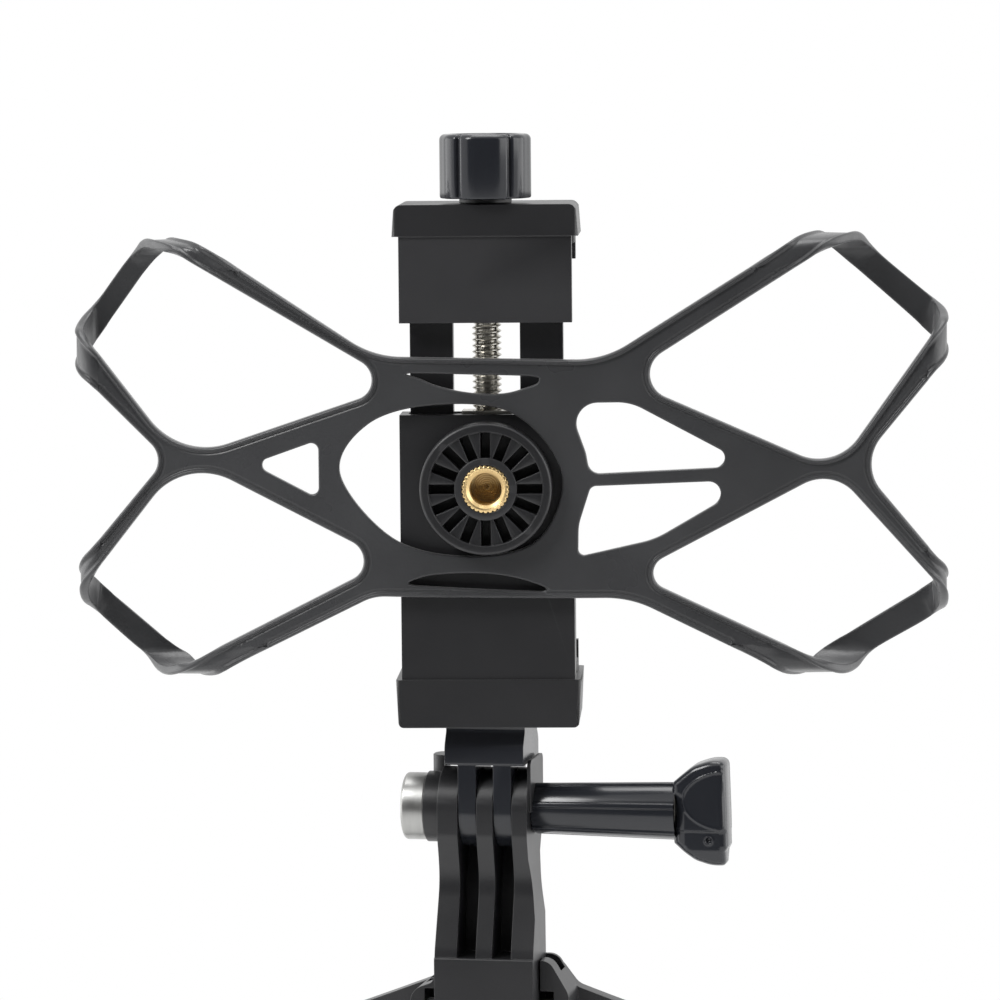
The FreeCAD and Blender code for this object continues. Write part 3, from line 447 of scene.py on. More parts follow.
def bevelled(mesh: bpy.types.Mesh, name: str, width: float, segments: int, sharp: float) -> bpy.types.Object:
    """Copy a mesh and round its sharp edges.

    Args:
        mesh: The mesh to copy.
        name: The piece's name.
        width: Width of the rounding in metres.
        segments: Facets across the rounding.
        sharp: Edges sharper than this many degrees are rounded.

    Returns:
        The rounded piece.
    """
    piece = link(name, mesh.copy(), 180.0)
    bevel = piece.modifiers.new("eased edges", "BEVEL")
    bevel.width = width
    bevel.segments = segments
    bevel.limit_method = "ANGLE"
    bevel.angle_limit = math.radians(sharp)
    bevel.use_clamp_overlap = False
    bevel.harden_normals = True
    bevel.miter_outer = "MITER_ARC"
    applied(piece)
    return piece


def strays(piece: bpy.types.Object, surface: BVHTree, limit: float) -> list[int]:
    """List a piece's points that lie farther from a surface than a limit."""
    return [v.index for v in piece.data.vertices if (surface.find_nearest(v.co)[3] or 0.0) > limit]


def eased(node: str, name: str, width: float, segments: int = 3, sharp: float = 28.0) -> bpy.types.Object:
    """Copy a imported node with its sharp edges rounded, as a mould leaves them.

    A rounding too wide for a small corner throws points off the surface, so narrower ones are tried,
    and what still strays is put back.

    Args:
        node: The node that the piece stands for.
        name: The piece's name.
        width: Width of the rounding in millimetres.
        segments: Facets across the rounding.
        sharp: Edges sharper than this many degrees are rounded.

    Returns:
        The new piece, which replaces the node.
    """
    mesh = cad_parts[node].data.copy()
    mesh.name = name
    mesh.materials.clear()
    work = bmesh.new()
    work.from_mesh(mesh)
    bmesh.ops.remove_doubles(work, verts=work.verts, dist=0.003 * MM)
    bmesh.ops.dissolve_limit(work, angle_limit=math.radians(0.6), verts=work.verts, edges=work.edges)
    work.to_mesh(mesh)
    surface = BVHTree.FromBMesh(work)
    work.free()
    for layer in list(mesh.attributes):
        if layer.name in ("custom_normal", "sharp_edge", "sharp_face"):
            mesh.attributes.remove(layer)
    for share in EASE_SHARES:
        reach = width * share * MM
        piece = bevelled(mesh, name, reach, segments, sharp)
        lost = strays(piece, surface, EASE_REACH * reach)
        LOG.info("%s: rounding of %.2f mm leaves %d stray points", name, reach / MM, len(lost))
        if not lost:
            break
        if share != EASE_SHARES[-1]:
            bpy.data.objects.remove(piece)
    for index in lost:
        point = piece.data.vertices[index]
        point.co = surface.find_nearest(point.co)[0]
    piece.name = name
    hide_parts(node)
    return piece


def arc_outline(corners: Sequence[Corner], step: float) -> np.ndarray:
    """Follow a closed outline of straight runs and corner arcs.

    Args:
        corners: Rows of u, v and corner radius.
        step: Distance between points, at most.

    Returns:
        Rows of u, v along the outline.
    """
    count = len(corners)
    stations: list[np.ndarray] = []
    for i, (u, v, radius) in enumerate(corners):
        here = np.array((u, v))
        back = np.array(corners[i - 1][:2]) - here
        on = np.array(corners[(i + 1) % count][:2]) - here
        back, on = back / np.linalg.norm(back), on / np.linalg.norm(on)
        if radius == 0:
            stations.append(here)
            continue
        half = math.acos(max(-1.0, min(1.0, float(back @ on)))) / 2
        reach = radius / math.tan(half)
        middle = here + (back + on) / np.linalg.norm(back + on) * radius / math.sin(half)
        start, end = here + back * reach - middle, here + on * reach - middle
        sweep = math.atan2(start[0] * end[1] - start[1] * end[0], float(start @ end))
        bits = max(3, int(abs(sweep) * radius / step) + 1, int(abs(sweep) / 0.2))
        for k in range(bits + 1):
            angle = sweep * k / bits
            turned = (start[0] * math.cos(angle) - start[1] * math.sin(angle),
                      start[0] * math.sin(angle) + start[1] * math.cos(angle))
            stations.append(middle + np.array(turned))
    return along(np.array(stations), step, closed=True)


def along(points: np.ndarray, step: float, closed: bool = False) -> np.ndarray:
    """Divide the long runs of a line.

    Args:
        points: Rows of coordinates.
        step: Distance between points, at most.
        closed: True where the last point joins the first.

    Returns:
        The line with points added.
    """
    out = []
    last = len(points) if closed else len(points) - 1
    for i in range(last):
        start, end = points[i], points[(i + 1) % len(points)]
        bits = max(1, int(math.ceil(np.linalg.norm(end - start) / step)))
        out += [start + (end - start) * k / bits for k in range(bits)]
    if not closed:
        out.append(points[-1])
    return np.array(out)


def curve_through(points: Sequence[Sequence[float]], step: float) -> np.ndarray:
    """Smooth curve through points, by Catmull and Rom's rule.

    Args:
        points: Rows of coordinates.
        step: Distance between points on the result, about.

    Returns:
        Rows along the curve, both ends included.
    """
    p = np.array(points, float)
    p = np.vstack((2 * p[0] - p[1], p, 2 * p[-1] - p[-2]))
    out = []
    for i in range(1, len(p) - 2):
        a, b, c, d = p[i - 1:i + 3]
        bits = max(2, int(round(np.linalg.norm(c - b) / step)))
        for k in range(bits):
            t = k / bits
            out.append(0.5 * (2 * b + (c - a) * t + (2 * a - 5 * b + 4 * c - d) * t ** 2
                              + (3 * b - a - 3 * c + d) * t ** 3))
    out.append(p[-2])
    return np.array(out)


def closed_curve(points: Sequence[Point2], step: float) -> np.ndarray:
    """Smooth closed curve through points.

    Args:
        points: Rows of u, v, each once.
        step: Distance between points on the result, about.

    Returns:
        Rows along the curve, the first one not repeated.
    """
    first = np.array(points[0])
    line = curve_through([points[-1], *points, points[0], points[1]], step)
    near = np.flatnonzero(np.linalg.norm(line - first, axis=1) < 1e-9)
    return line[near[0]:near[-1]]


def across_strap(width: float) -> np.ndarray:
    """Places across a strap at which its section is drawn, from one edge to the other."""
    near = [min(step, width / 2) for step in EDGE_STEPS]
    return np.array(near + [width / 2] + [width - step for step in reversed(near)])


def inside(points: np.ndarray, loop: np.ndarray) -> np.ndarray:
    """Say which points lie inside a closed loop.

    Args:
        points: Rows of u, v.
        loop: Rows of u, v.

    Returns:
        One truth value per point.
    """
    following = np.roll(loop, -1, axis=0)
    hit = np.zeros(len(points), bool)
    for (u0, v0), (u1, v1) in zip(loop, following):
        if v0 == v1:
            continue
        crosses = (points[:, 1] < v0) != (points[:, 1] < v1)
        hit ^= crosses & (points[:, 0] < (u1 - u0) * (points[:, 1] - v0) / (v1 - v0) + u0)
    return hit


def distance_to(points: np.ndarray, starts: np.ndarray, ends: np.ndarray) -> np.ndarray:
    """Distance from each point to the nearest of many short runs.

    Args:
        points: Rows of u, v.
        starts: Where each run starts.
        ends: Where each run ends.

    Returns:
        One distance per point.
    """
    best = np.full(len(points), 1e9)
    if len(starts) == 0:
        return best
    run = ends - starts
    length = np.maximum((run ** 2).sum(1), 1e-12)
    for i in range(0, len(points), 400):
        offset = points[i:i + 400, None, :] - starts[None]
        share = np.clip((offset * run[None]).sum(2) / length, 0, 1)
        gap = offset - share[..., None] * run[None]
        best[i:i + 400] = np.sqrt((gap ** 2).sum(2)).min(1)
    return best


@dataclass
class SheetPlan:
    """A flat sheet with holes, meshed finely along its edges.

    Attributes:
        loops: Closed outlines, the outer one first.
        rims: How each run of each loop is finished.
        rings: Distances from the edge at which rows of points lie.
        grid: Spacing of the points in the middle.
    """

    loops: list[np.ndarray]
    rims: list[list[Rim]]
    rings: tuple[float, ...] = EDGE_STEPS[1:]
    grid: float = 1.5
    points: np.ndarray = field(init=False)
    triangles: list[tuple[int, int, int]] = field(init=False)
    edge_runs: list[tuple[int, int]] = field(init=False)
    to_bead: np.ndarray = field(init=False)
    to_plain: np.ndarray = field(init=False)

    def runs(self, rim: Rim) -> tuple[np.ndarray, np.ndarray]:
        """Return the starts and ends of the runs finished one way."""
        starts, ends = [], []
        for loop, rims in zip(self.loops, self.rims):
            for i, kind in enumerate(rims):
                if kind is rim:
                    starts.append(loop[i])
                    ends.append(loop[(i + 1) % len(loop)])
        return np.array(starts).reshape(-1, 2), np.array(ends).reshape(-1, 2)

    def in_sheet(self, points: np.ndarray) -> np.ndarray:
        """Say which points lie in the sheet, outside its holes."""
        ok = inside(points, self.loops[0])
        for hole in self.loops[1:]:
            ok &= ~inside(points, hole)
        return ok

    def mesh(self) -> None:
        """Fill the sheet with triangles and measure each point's distance to its edges."""
        edge = np.concatenate(self.loops)
        inner = []
        for loop in self.loops:
            ahead = np.roll(loop, -1, axis=0) - np.roll(loop, 1, axis=0)
            ahead = ahead / np.maximum(np.linalg.norm(ahead, axis=1), 1e-9)[:, None]
            side = np.stack((-ahead[:, 1], ahead[:, 0]), 1)
            for ring in self.rings:
                inner += [loop + side * ring, loop - side * ring]
        low, high = edge.min(0), edge.max(0)
        us, vs = np.meshgrid(np.arange(low[0], high[0], self.grid), np.arange(low[1], high[1], self.grid))
        us[1::2] += self.grid / 2
        middle = np.stack((us.ravel(), vs.ravel()), 1)
        rings = np.concatenate(inner)
        rings = rings[self.in_sheet(rings)]
        bead, plain, opened = (self.runs(kind) for kind in (Rim.BEAD, Rim.PLAIN, Rim.OPEN))
        all_runs = (np.concatenate((bead[0], plain[0], opened[0])),
                    np.concatenate((bead[1], plain[1], opened[1])))
        gap = distance_to(rings, *all_runs)
        rings = rings[np.min(np.abs(gap[:, None] - np.array(self.rings)[None]), axis=1) < 0.04]
        middle = middle[self.in_sheet(middle)]
        middle = middle[distance_to(middle, *all_runs) > self.rings[-1] + 0.5 * self.grid]
        points = np.concatenate((edge, rings, middle))
        runs, base = [], 0
        for loop in self.loops:
            runs += [(base + i, base + (i + 1) % len(loop)) for i in range(len(loop))]
            base += len(loop)
        found = delaunay_2d_cdt([Vector(p) for p in points], runs, [], 0, 1e-4)
        self.points = np.array([tuple(p) for p in found[0]])
        faces = np.array([tuple(f) for f in found[2] if len(f) == 3])
        keep = self.in_sheet(self.points[faces].mean(1))
        self.triangles = [tuple(int(i) for i in face) for face in faces[keep]]
        used: dict[tuple[int, int], int] = {}
        for a, b, c in self.triangles:
            for pair in ((a, b), (b, c), (c, a)):
                used[pair] = used.get(pair, 0) + 1
        self.edge_runs = [pair for pair in used if (pair[1], pair[0]) not in used]
        self.to_bead = distance_to(self.points, *bead)
        self.to_plain = distance_to(self.points, *plain)


@dataclass
class BeadSection:
    """Height of the web's outer face across its edge, in millimetres from the flat."""

    height: float = 0.42
    crown: float = 0.45
    foot: float = 0.95
    groove: float = 0.2
    groove_end: float = 1.5
    drop: float = 0.8
    plain_round: float = 0.3

    def bead(self, gap: np.ndarray) -> np.ndarray:
        """Height of a beaded edge at a distance from it."""
        inward = 1 - np.clip(gap / self.crown, 0, 1)
        rise = self.height - self.drop * (1 - np.sqrt(np.clip(1 - inward ** 2, 0, 1)))
        fall = np.clip((gap - self.crown) / (self.foot - self.crown), 0, 1)
        fall = fall * fall * (3 - 2 * fall)
        height = rise - (self.height + self.groove) * fall
        back = np.clip((gap - self.foot) / (self.groove_end - self.foot), 0, 1)
        return height + self.groove * back * back * (3 - 2 * back)

    def plain(self, gap: np.ndarray) -> np.ndarray:
        """Height of a plain rounded edge at a distance from it."""
        share = np.clip(gap / self.plain_round, 0, 1)
        return -self.plain_round * (1 - np.sqrt(np.clip(1 - (1 - share) ** 2, 0, 1)))


@dataclass(frozen=True)
class CornerStrap:
    """Guide points of the strap behind one corner of the held space, from the long edge to the short one.

    Attributes:
        side: -1 at the left, 1 at the right.
        up: -1 at the bottom, 1 at the top.
        near: Points along the strap's edge on the clamp's side.
        far: Points along its edge on the corner's side.
    """

    side: int
    up: int
    near: tuple[Corner, ...]
    far: tuple[Corner, ...]


@dataclass
class StretchWeb:
    """The silicone web as it is pulled over the held space: a windowed sheet and four corner loops."""

    paint: Paint
    thick: float = 2.0
    back: float = -10.3
    flat_half: float = 15.0
    left_end: float = -69.8
    right_end: float = 77.9
    edge_back: float = -1.3
    bend: float = 5.0
    top_cut: float = 91.5
    bottom_cut: float = 28.5
    right_cut: float = 73.5
    left_cut: float = -65.5
    settle: float = 4.0
    thinning: float = 0.35
    probe: float = 0.03
    steepest: float = 3.0
    section: BeadSection = field(default_factory=BeadSection)
    straps: tuple[CornerStrap, ...] = (
        CornerStrap(1, 1, ((47.9, -6.6, 94.0), (50.6, -5.4, 95.4), (53.4, -1.0, 96.2), (55.6, 4.0, 96.2),
                           (57.6, 7.4, 94.8), (61.0, 8.1, 91.6), (73.4, 8.1, 80.6), (75.6, 7.2, 78.6),
                           (76.4, 3.0, 77.2), (76.1, -0.9, 75.6), (74.9, -2.7, 73.9)),
                    ((55.7, -5.5, 94.0), (58.2, -4.3, 95.3), (60.8, -0.6, 96.0), (62.8, 4.0, 96.0),
                     (64.6, 7.4, 94.4), (67.4, 8.1, 91.8), (73.6, 8.1, 86.6), (75.6, 7.2, 84.9),
                     (76.4, 3.0, 83.4), (76.1, -0.9, 82.3), (74.9, -2.7, 80.7))),
        CornerStrap(1, -1, ((45.2, -7.0, 25.8), (48.0, -5.7, 24.4), (50.8, -1.0, 23.5), (53.2, 4.0, 23.5),
                            (55.4, 7.4, 25.0), (59.0, 8.1, 27.6), (73.2, 8.1, 36.2), (75.5, 7.2, 37.8),
                            (76.3, 3.0, 39.2), (76.1, -0.9, 41.0), (74.9, -2.7, 42.8)),
                    ((54.7, -5.6, 25.8), (57.2, -4.5, 24.6), (59.8, -0.8, 23.6), (62.0, 4.0, 23.7),
                     (64.0, 7.4, 25.2), (66.8, 8.1, 27.0), (73.2, 8.1, 30.6), (75.4, 7.2, 32.2),
                     (76.3, 3.0, 33.8), (76.1, -0.9, 36.2), (74.9, -2.7, 38.3))),
        CornerStrap(-1, -1, ((-41.7, -6.9, 25.8), (-44.6, -5.8, 24.5), (-47.4, -1.0, 23.7), (-49.8, 4.0, 23.7),
                             (-52.0, 7.4, 25.2), (-55.4, 8.1, 27.6), (-65.4, 8.1, 36.2), (-67.8, 7.2, 38.4),
                             (-68.9, 3.0, 40.4), (-68.5, -1.0, 42.6), (-67.0, -2.8, 44.8)),
                    ((-49.8, -5.6, 25.8), (-52.4, -4.6, 24.7), (-55.0, -0.8, 23.8), (-57.2, 4.0, 23.9),
                     (-59.2, 7.4, 25.4), (-61.4, 8.1, 27.2), (-65.6, 8.1, 31.0), (-67.8, 7.2, 33.2),
                     (-68.8, 3.0, 35.2), (-68.5, -1.0, 37.8), (-67.0, -2.8, 40.0))),
        CornerStrap(-1, 1, ((-44.6, -6.4, 94.0), (-47.4, -5.3, 95.2), (-51.0, -1.0, 95.8), (-53.6, 4.0, 95.8),
                            (-55.6, 7.4, 94.4), (-58.4, 8.1, 91.2), (-65.4, 8.1, 81.6), (-67.8, 7.2, 78.6),
                            (-69.0, 3.0, 76.2), (-68.6, -1.0, 74.3), (-67.0, -2.8, 72.5)),
                    ((-51.3, -5.3, 94.0), (-53.6, -4.3, 95.0), (-56.4, -0.8, 95.6), (-58.6, 4.0, 95.6),
                     (-60.4, 7.4, 94.2), (-62.4, 8.1, 91.8), (-65.8, 8.1, 87.2), (-67.8, 7.2, 84.6),
                     (-68.9, 3.0, 82.4), (-68.6, -1.0, 81.2), (-67.0, -2.8, 79.3))),
    )
    outline: tuple[Corner, ...] = (
        (-49.7, 97.3, 0), (-18.7, 77.3, 16), (19.6, 76.5, 16), (53.3, 97.3, 0),
        (61.0, 97.3, 0), (22.6, 73.4, 4.2), (58.1, 57.4, 8), (77.9, 84.8, 0),
        (77.9, 77.3, 0), (62.1, 58.4, 7), (77.9, 39.3, 0), (77.9, 35.0, 0),
        (57.6, 57.7, 7), (24.2, 40.7, 2.8), (61.3, 22.6, 0), (51.5, 22.6, 0),
        (23.8, 36.7, 18), (-19.0, 37.2, 8), (-48.1, 22.6, 0), (-56.4, 22.6, 0),
        (-16.4, 43.2, 3.5), (-50.9, 60.4, 11), (-69.8, 36.6, 0), (-69.8, 41.5, 0),
        (-54.1, 60.0, 3.7), (-69.8, 75.3, 0), (-69.8, 83.1, 0), (-51.6, 59.8, 12),
        (-14.2, 72.6, 3.4), (-57.0, 97.3, 0),
    )
    egg: tuple[Point2, ...] = ((-24.5, 57.7), (-19.5, 66.1), (-8.5, 69.2), (4.5, 67.7),
                               (12.5, 57.8), (8.7, 46.8), (-2.5, 43.9), (-15.5, 46.8))
    windows: tuple[tuple[Corner, ...], ...] = (
        ((-39.5, 59.2, 1.2), (-28.1, 63.3, 1.2), (-28.1, 53.4, 1.2)),
        ((13.6, 69.4, 3.5), (24.0, 69.4, 9), (40.8, 60.2, 1.6), (38.6, 58.2, 1.2),
         (17.2, 57.5, 2.0), (16.6, 61.0, 6)),
        ((17.4, 55.5, 1.2), (39.6, 56.0, 2.0), (38.6, 52.4, 2.5), (28.0, 46.4, 14),
         (15.2, 43.7, 1.0), (15.3, 49.0, 8)),
    )
    lenses: tuple[tuple[Point2, ...], ...] = (
        ((-12.6, 74.5), (-2.5, 74.25), (7.6, 73.9), (8.9, 73.3), (8.4, 72.6), (6.5, 71.9), (4.0, 71.2),
         (1.5, 70.95), (-1.8, 71.1), (-5.1, 71.6), (-8.5, 72.5), (-11.0, 73.6), (-12.6, 74.1)),
        ((-13.0, 39.6), (-10.2, 40.6), (-6.7, 41.0), (-3.1, 41.1), (-0.1, 41.0), (3.3, 40.6), (6.6, 39.8),
         (9.7, 38.6), (9.2, 38.0), (4.6, 38.1), (-2.1, 38.4), (-8.7, 38.8), (-12.5, 39.1)),
    )

    def depth(self, x: np.ndarray) -> np.ndarray:
        """Depth of the sheet's back face along the clamp, flat in the middle and swept back to both ends."""
        x = np.asarray(x, float)
        reach = np.where(x > 0, self.right_end, -self.left_end)
        slope = (self.edge_back - self.back) / (reach - self.flat_half)
        over = np.abs(x) - self.flat_half
        turning = np.where(over > self.bend, over, (over + self.bend) ** 2 / (4 * self.bend))
        soft = np.where(over < -self.bend, 0, turning)
        return self.back + slope * soft

    def cut_outline(self) -> tuple[np.ndarray, list[Rim]]:
        """Cut the outline short at the bends and say how each run is finished.

        Returns:
            The outline's points, and the finish of each run.
        """
        count = len(self.outline)
        corners: list[Corner] = []
        for i, (x, z, radius) in enumerate(self.outline):
            if radius > 0:
                corners.append((x, z, radius))
                continue
            other = self.outline[(i + 1) % count]
            if other[2] == 0:
                other = self.outline[i - 1]
            if other[2] == 0:
                other = self.outline[(i + 1) % count]
            if abs(z - 97.3) < 0.1 or abs(z - 22.6) < 0.1:
                level = self.top_cut if z > 60 else self.bottom_cut
                share = (level - other[1]) / (z - other[1])
            else:
                level = self.right_cut if x > 0 else self.left_cut
                share = (level - other[0]) / (x - other[0])
            corners.append((other[0] + share * (x - other[0]), other[1] + share * (z - other[1]), 0))
        line = self.seamed(arc_outline(corners, 0.55))
        rims = []
        for i, start in enumerate(line):
            end = line[(i + 1) % len(line)]
            opened = any(abs(start[k] - cut) < 0.01 and abs(end[k] - cut) < 0.01 for k, cut in
                         ((1, self.top_cut), (1, self.bottom_cut), (0, self.right_cut), (0, self.left_cut)))
            rims.append(Rim.OPEN if opened else Rim.BEAD)
        self.ends = [corner[:2] for corner in corners if corner[2] == 0]
        return line, rims

    def seamed(self, line: np.ndarray) -> np.ndarray:
        """Put points on each cut where the strap's section has them, so that both meet without a step."""
        out: list[np.ndarray] = []
        count, i = len(line), 0
        while self.on_cut(line[i - 1], line[i]):
            i -= 1
        for k in range(i, i + count):
            start, end = line[k % count], line[(k + 1) % count]
            if not self.on_cut(start, end):
                out.append(start)
                continue
            if self.on_cut(line[(k - 1) % count], start):
                continue
            last = k + 1
            while self.on_cut(line[last % count], line[(last + 1) % count]):
                last += 1
            far = line[last % count]
            way = line[(k - 1) % count] - start
            run = far - start
            width = abs(run[0] * way[1] - run[1] * way[0]) / np.linalg.norm(way)
            places = across_strap(width)[:-1]
            out += [start + run * share for share in np.unique(places / width)]
        return np.array(out)

    def sheet(self, blank: Blank) -> None:
        """Add the front sheet."""
        line, rims = self.cut_outline()
        loops = [line]
        kinds = [rims]
        loops += [closed_curve(hole, 0.5) for hole in (self.egg, *self.lenses)]
        loops += [arc_outline(window, 0.5) for window in self.windows]
        kinds += [[Rim.PLAIN] * len(loop) for loop in loops[1:]]
        plan = SheetPlan(loops, kinds)
        plan.mesh()
        rise = self.section.bead(plan.to_bead) + self.section.plain(plan.to_plain)
        x, z = plan.points[:, 0], plan.points[:, 1]
        back = self.depth(x)
        near_edge = np.minimum(plan.to_bead, plan.to_plain)
        front_points = np.stack((x, back - self.thick - rise, z), 1)
        back_points = np.stack((x, back + self.section.plain(near_edge), z), 1)
        count = len(x)
        faces = [tuple(reversed(t)) for t in plan.triangles]
        faces += [tuple(i + count for i in t) for t in plan.triangles]
        faces += [(a, b, b + count, a + count) for a, b in plan.edge_runs
                  if not self.on_cut(plan.points[a], plan.points[b])]
        blank.add(np.concatenate((front_points, back_points)), faces)
        self.front = front_points
        self.front_normals = self.normals_of(plan)

    def front_height(self, plan: SheetPlan, points: np.ndarray) -> np.ndarray:
        """Depth of the sheet's front face at points along the clamp and upwards."""
        rise = (self.section.bead(distance_to(points, *plan.runs(Rim.BEAD)))
                + self.section.plain(distance_to(points, *plan.runs(Rim.PLAIN))))
        return self.depth(points[:, 0]) - self.thick - rise

    def normals_of(self, plan: SheetPlan) -> np.ndarray:
        """Normals of the front face from the section itself, so that its shading shows no triangles."""
        here = self.front_height(plan, plan.points)
        slopes = []
        for way in np.eye(2) * self.probe:
            ahead = self.front_height(plan, plan.points + way)
            behind = self.front_height(plan, plan.points - way)
            outside = ~plan.in_sheet(plan.points + way)
            slope = np.where(outside, here - behind, ahead - here) / self.probe
            slopes.append(np.where(outside | ~plan.in_sheet(plan.points - way), slope,
                                   (ahead - behind) / (2 * self.probe)))
        steep = np.clip(np.stack(slopes, 1), -self.steepest, self.steepest)
        normals = np.stack((steep[:, 0], -np.ones(len(here)), steep[:, 1]), 1)
        return normals / np.linalg.norm(normals, axis=1)[:, None]

    def smooth_front(self, piece: bpy.types.Object) -> None:
        """Give the web's front face the normals of its section."""
        tree = KDTree(len(self.front))
        for i, point in enumerate(CLAMP_PLACE.to_part(self.front)):
            tree.insert(point, i)
        tree.balance()
        mesh = piece.data
        normals = [tuple(corner.vector) for corner in mesh.corner_normals]
        for face in mesh.polygons:
            if face.normal.y > -0.3:
                continue
            for loop in face.loop_indices:
                found = tree.find(mesh.vertices[mesh.loops[loop].vertex_index].co)
                if found[2] < 0.004 * MM:
                    normals[loop] = tuple(self.front_normals[found[1]])
        mesh.normals_split_custom_set(normals)

    def on_cut(self, a: np.ndarray, b: np.ndarray) -> bool:
        """Say whether a run lies where the sheet goes on into a loop."""
        return any(abs(a[k] - cut) < 0.01 and abs(b[k] - cut) < 0.01 for k, cut in
                   ((1, self.top_cut), (1, self.bottom_cut), (0, self.right_cut), (0, self.left_cut)))

    def loop(self, blank: Blank, strap: CornerStrap) -> None:
        """Add the strap behind one corner.

        Args:
            blank: The web's mesh.
            strap: The strap's guide points.
        """
        level = self.top_cut if strap.up > 0 else self.bottom_cut
        wall = self.right_cut if strap.side > 0 else self.left_cut
        long_ends = sorted((p[0] for p in self.ends if abs(p[1] - level) < 0.01 and p[0] * strap.side > 0), key=abs)
        short_ends = sorted((p[1] for p in self.ends if abs(p[0] - wall) < 0.01 and (p[1] - 60) * strap.up > 0),
                            key=lambda z: abs(z - 60))
        flank = float(self.depth(np.array([wall]))[0]) - self.thick / 2
        guides = []
        for points, x, z in ((strap.near, long_ends[0], short_ends[0]), (strap.far, long_ends[1], short_ends[1])):
            front = float(self.depth(np.array([x]))[0]) - self.thick / 2
            knots = [(x, front, level), *points, (wall, flank, z)]
            guides.append(curve_through(knots, 0.8))
        share = np.linspace(0, 1, max(len(line) for line in guides))
        self.band(blank, *(self.resampled(line, share) for line in guides))

    @staticmethod
    def resampled(line: np.ndarray, share: np.ndarray) -> np.ndarray:
        """Points at the given shares of a line's count of points."""
        place = np.linspace(0, 1, len(line))
        return np.stack([np.interp(share, place, line[:, k]) for k in range(3)], 1)

    def band(self, blank: Blank, inner: np.ndarray, outer: np.ndarray) -> None:
        """Add a strap between two guide lines, with the web's own section.

        Args:
            blank: The web's mesh.
            inner: One edge of the strap's middle surface.
            outer: The other edge.
        """
        across = outer - inner
        ahead = np.gradient((inner + outer) / 2, axis=0)
        ahead /= np.linalg.norm(ahead, axis=1)[:, None]
        normal = np.cross(ahead, across)
        normal /= np.linalg.norm(normal, axis=1)[:, None]
        normal *= -np.sign(normal[0, 1])
        run = np.cumsum(np.linalg.norm(np.diff((inner + outer) / 2, axis=0, prepend=(inner + outer)[:1] / 2), axis=1))
        ease = np.clip(np.minimum(run, run[-1] - run) / self.settle, 0, 1)
        ease = (ease * ease * (3 - 2 * ease))[:, None]
        normal = np.stack([np.convolve(np.pad(normal[:, k], 3, "edge"), np.ones(7) / 7, "valid") for k in range(3)], 1)
        normal = normal * ease + np.array((0.0, -1.0, 0.0)) * (1 - ease)
        normal /= np.linalg.norm(normal, axis=1)[:, None]
        square = np.linalg.norm(across - (across * ahead).sum(1)[:, None] * ahead, axis=1)
        square[2:-2] = np.convolve(square, np.ones(5) / 5, "valid")
        rows = []
        for k in range(len(inner)):
            places = across_strap(square[k])
            gap = np.minimum(places, square[k] - places)
            slim = 1 - self.thinning * ease[k, 0]
            rise = self.section.bead(gap) * slim
            line = inner[k] + across[k] * (places / square[k])[:, None]
            top = line + normal[k] * (self.thick / 2 * slim + rise)[:, None]
            under = line[::-1] - normal[k] * (self.thick / 2 * slim + self.section.plain(gap[::-1]) * slim)[:, None]
            rows.append(np.concatenate((top, under)))
        blank.grid(np.array(rows), close_columns=True)

    def build(self) -> list[bpy.types.Object]:
        """Build and dress the web.

        Returns:
            The web's one piece.
        """
        blank = Blank()
        self.sheet(blank)
        for strap in self.straps:
            self.loop(blank, strap)
        piece = blank.piece("stretch_web", CLAMP_PLACE, 60)
        self.smooth_front(piece)
        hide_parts("silicone_web")
        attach(piece, "clamp")
        self.paint.dress(piece, Finish.WEB)
        return [piece]


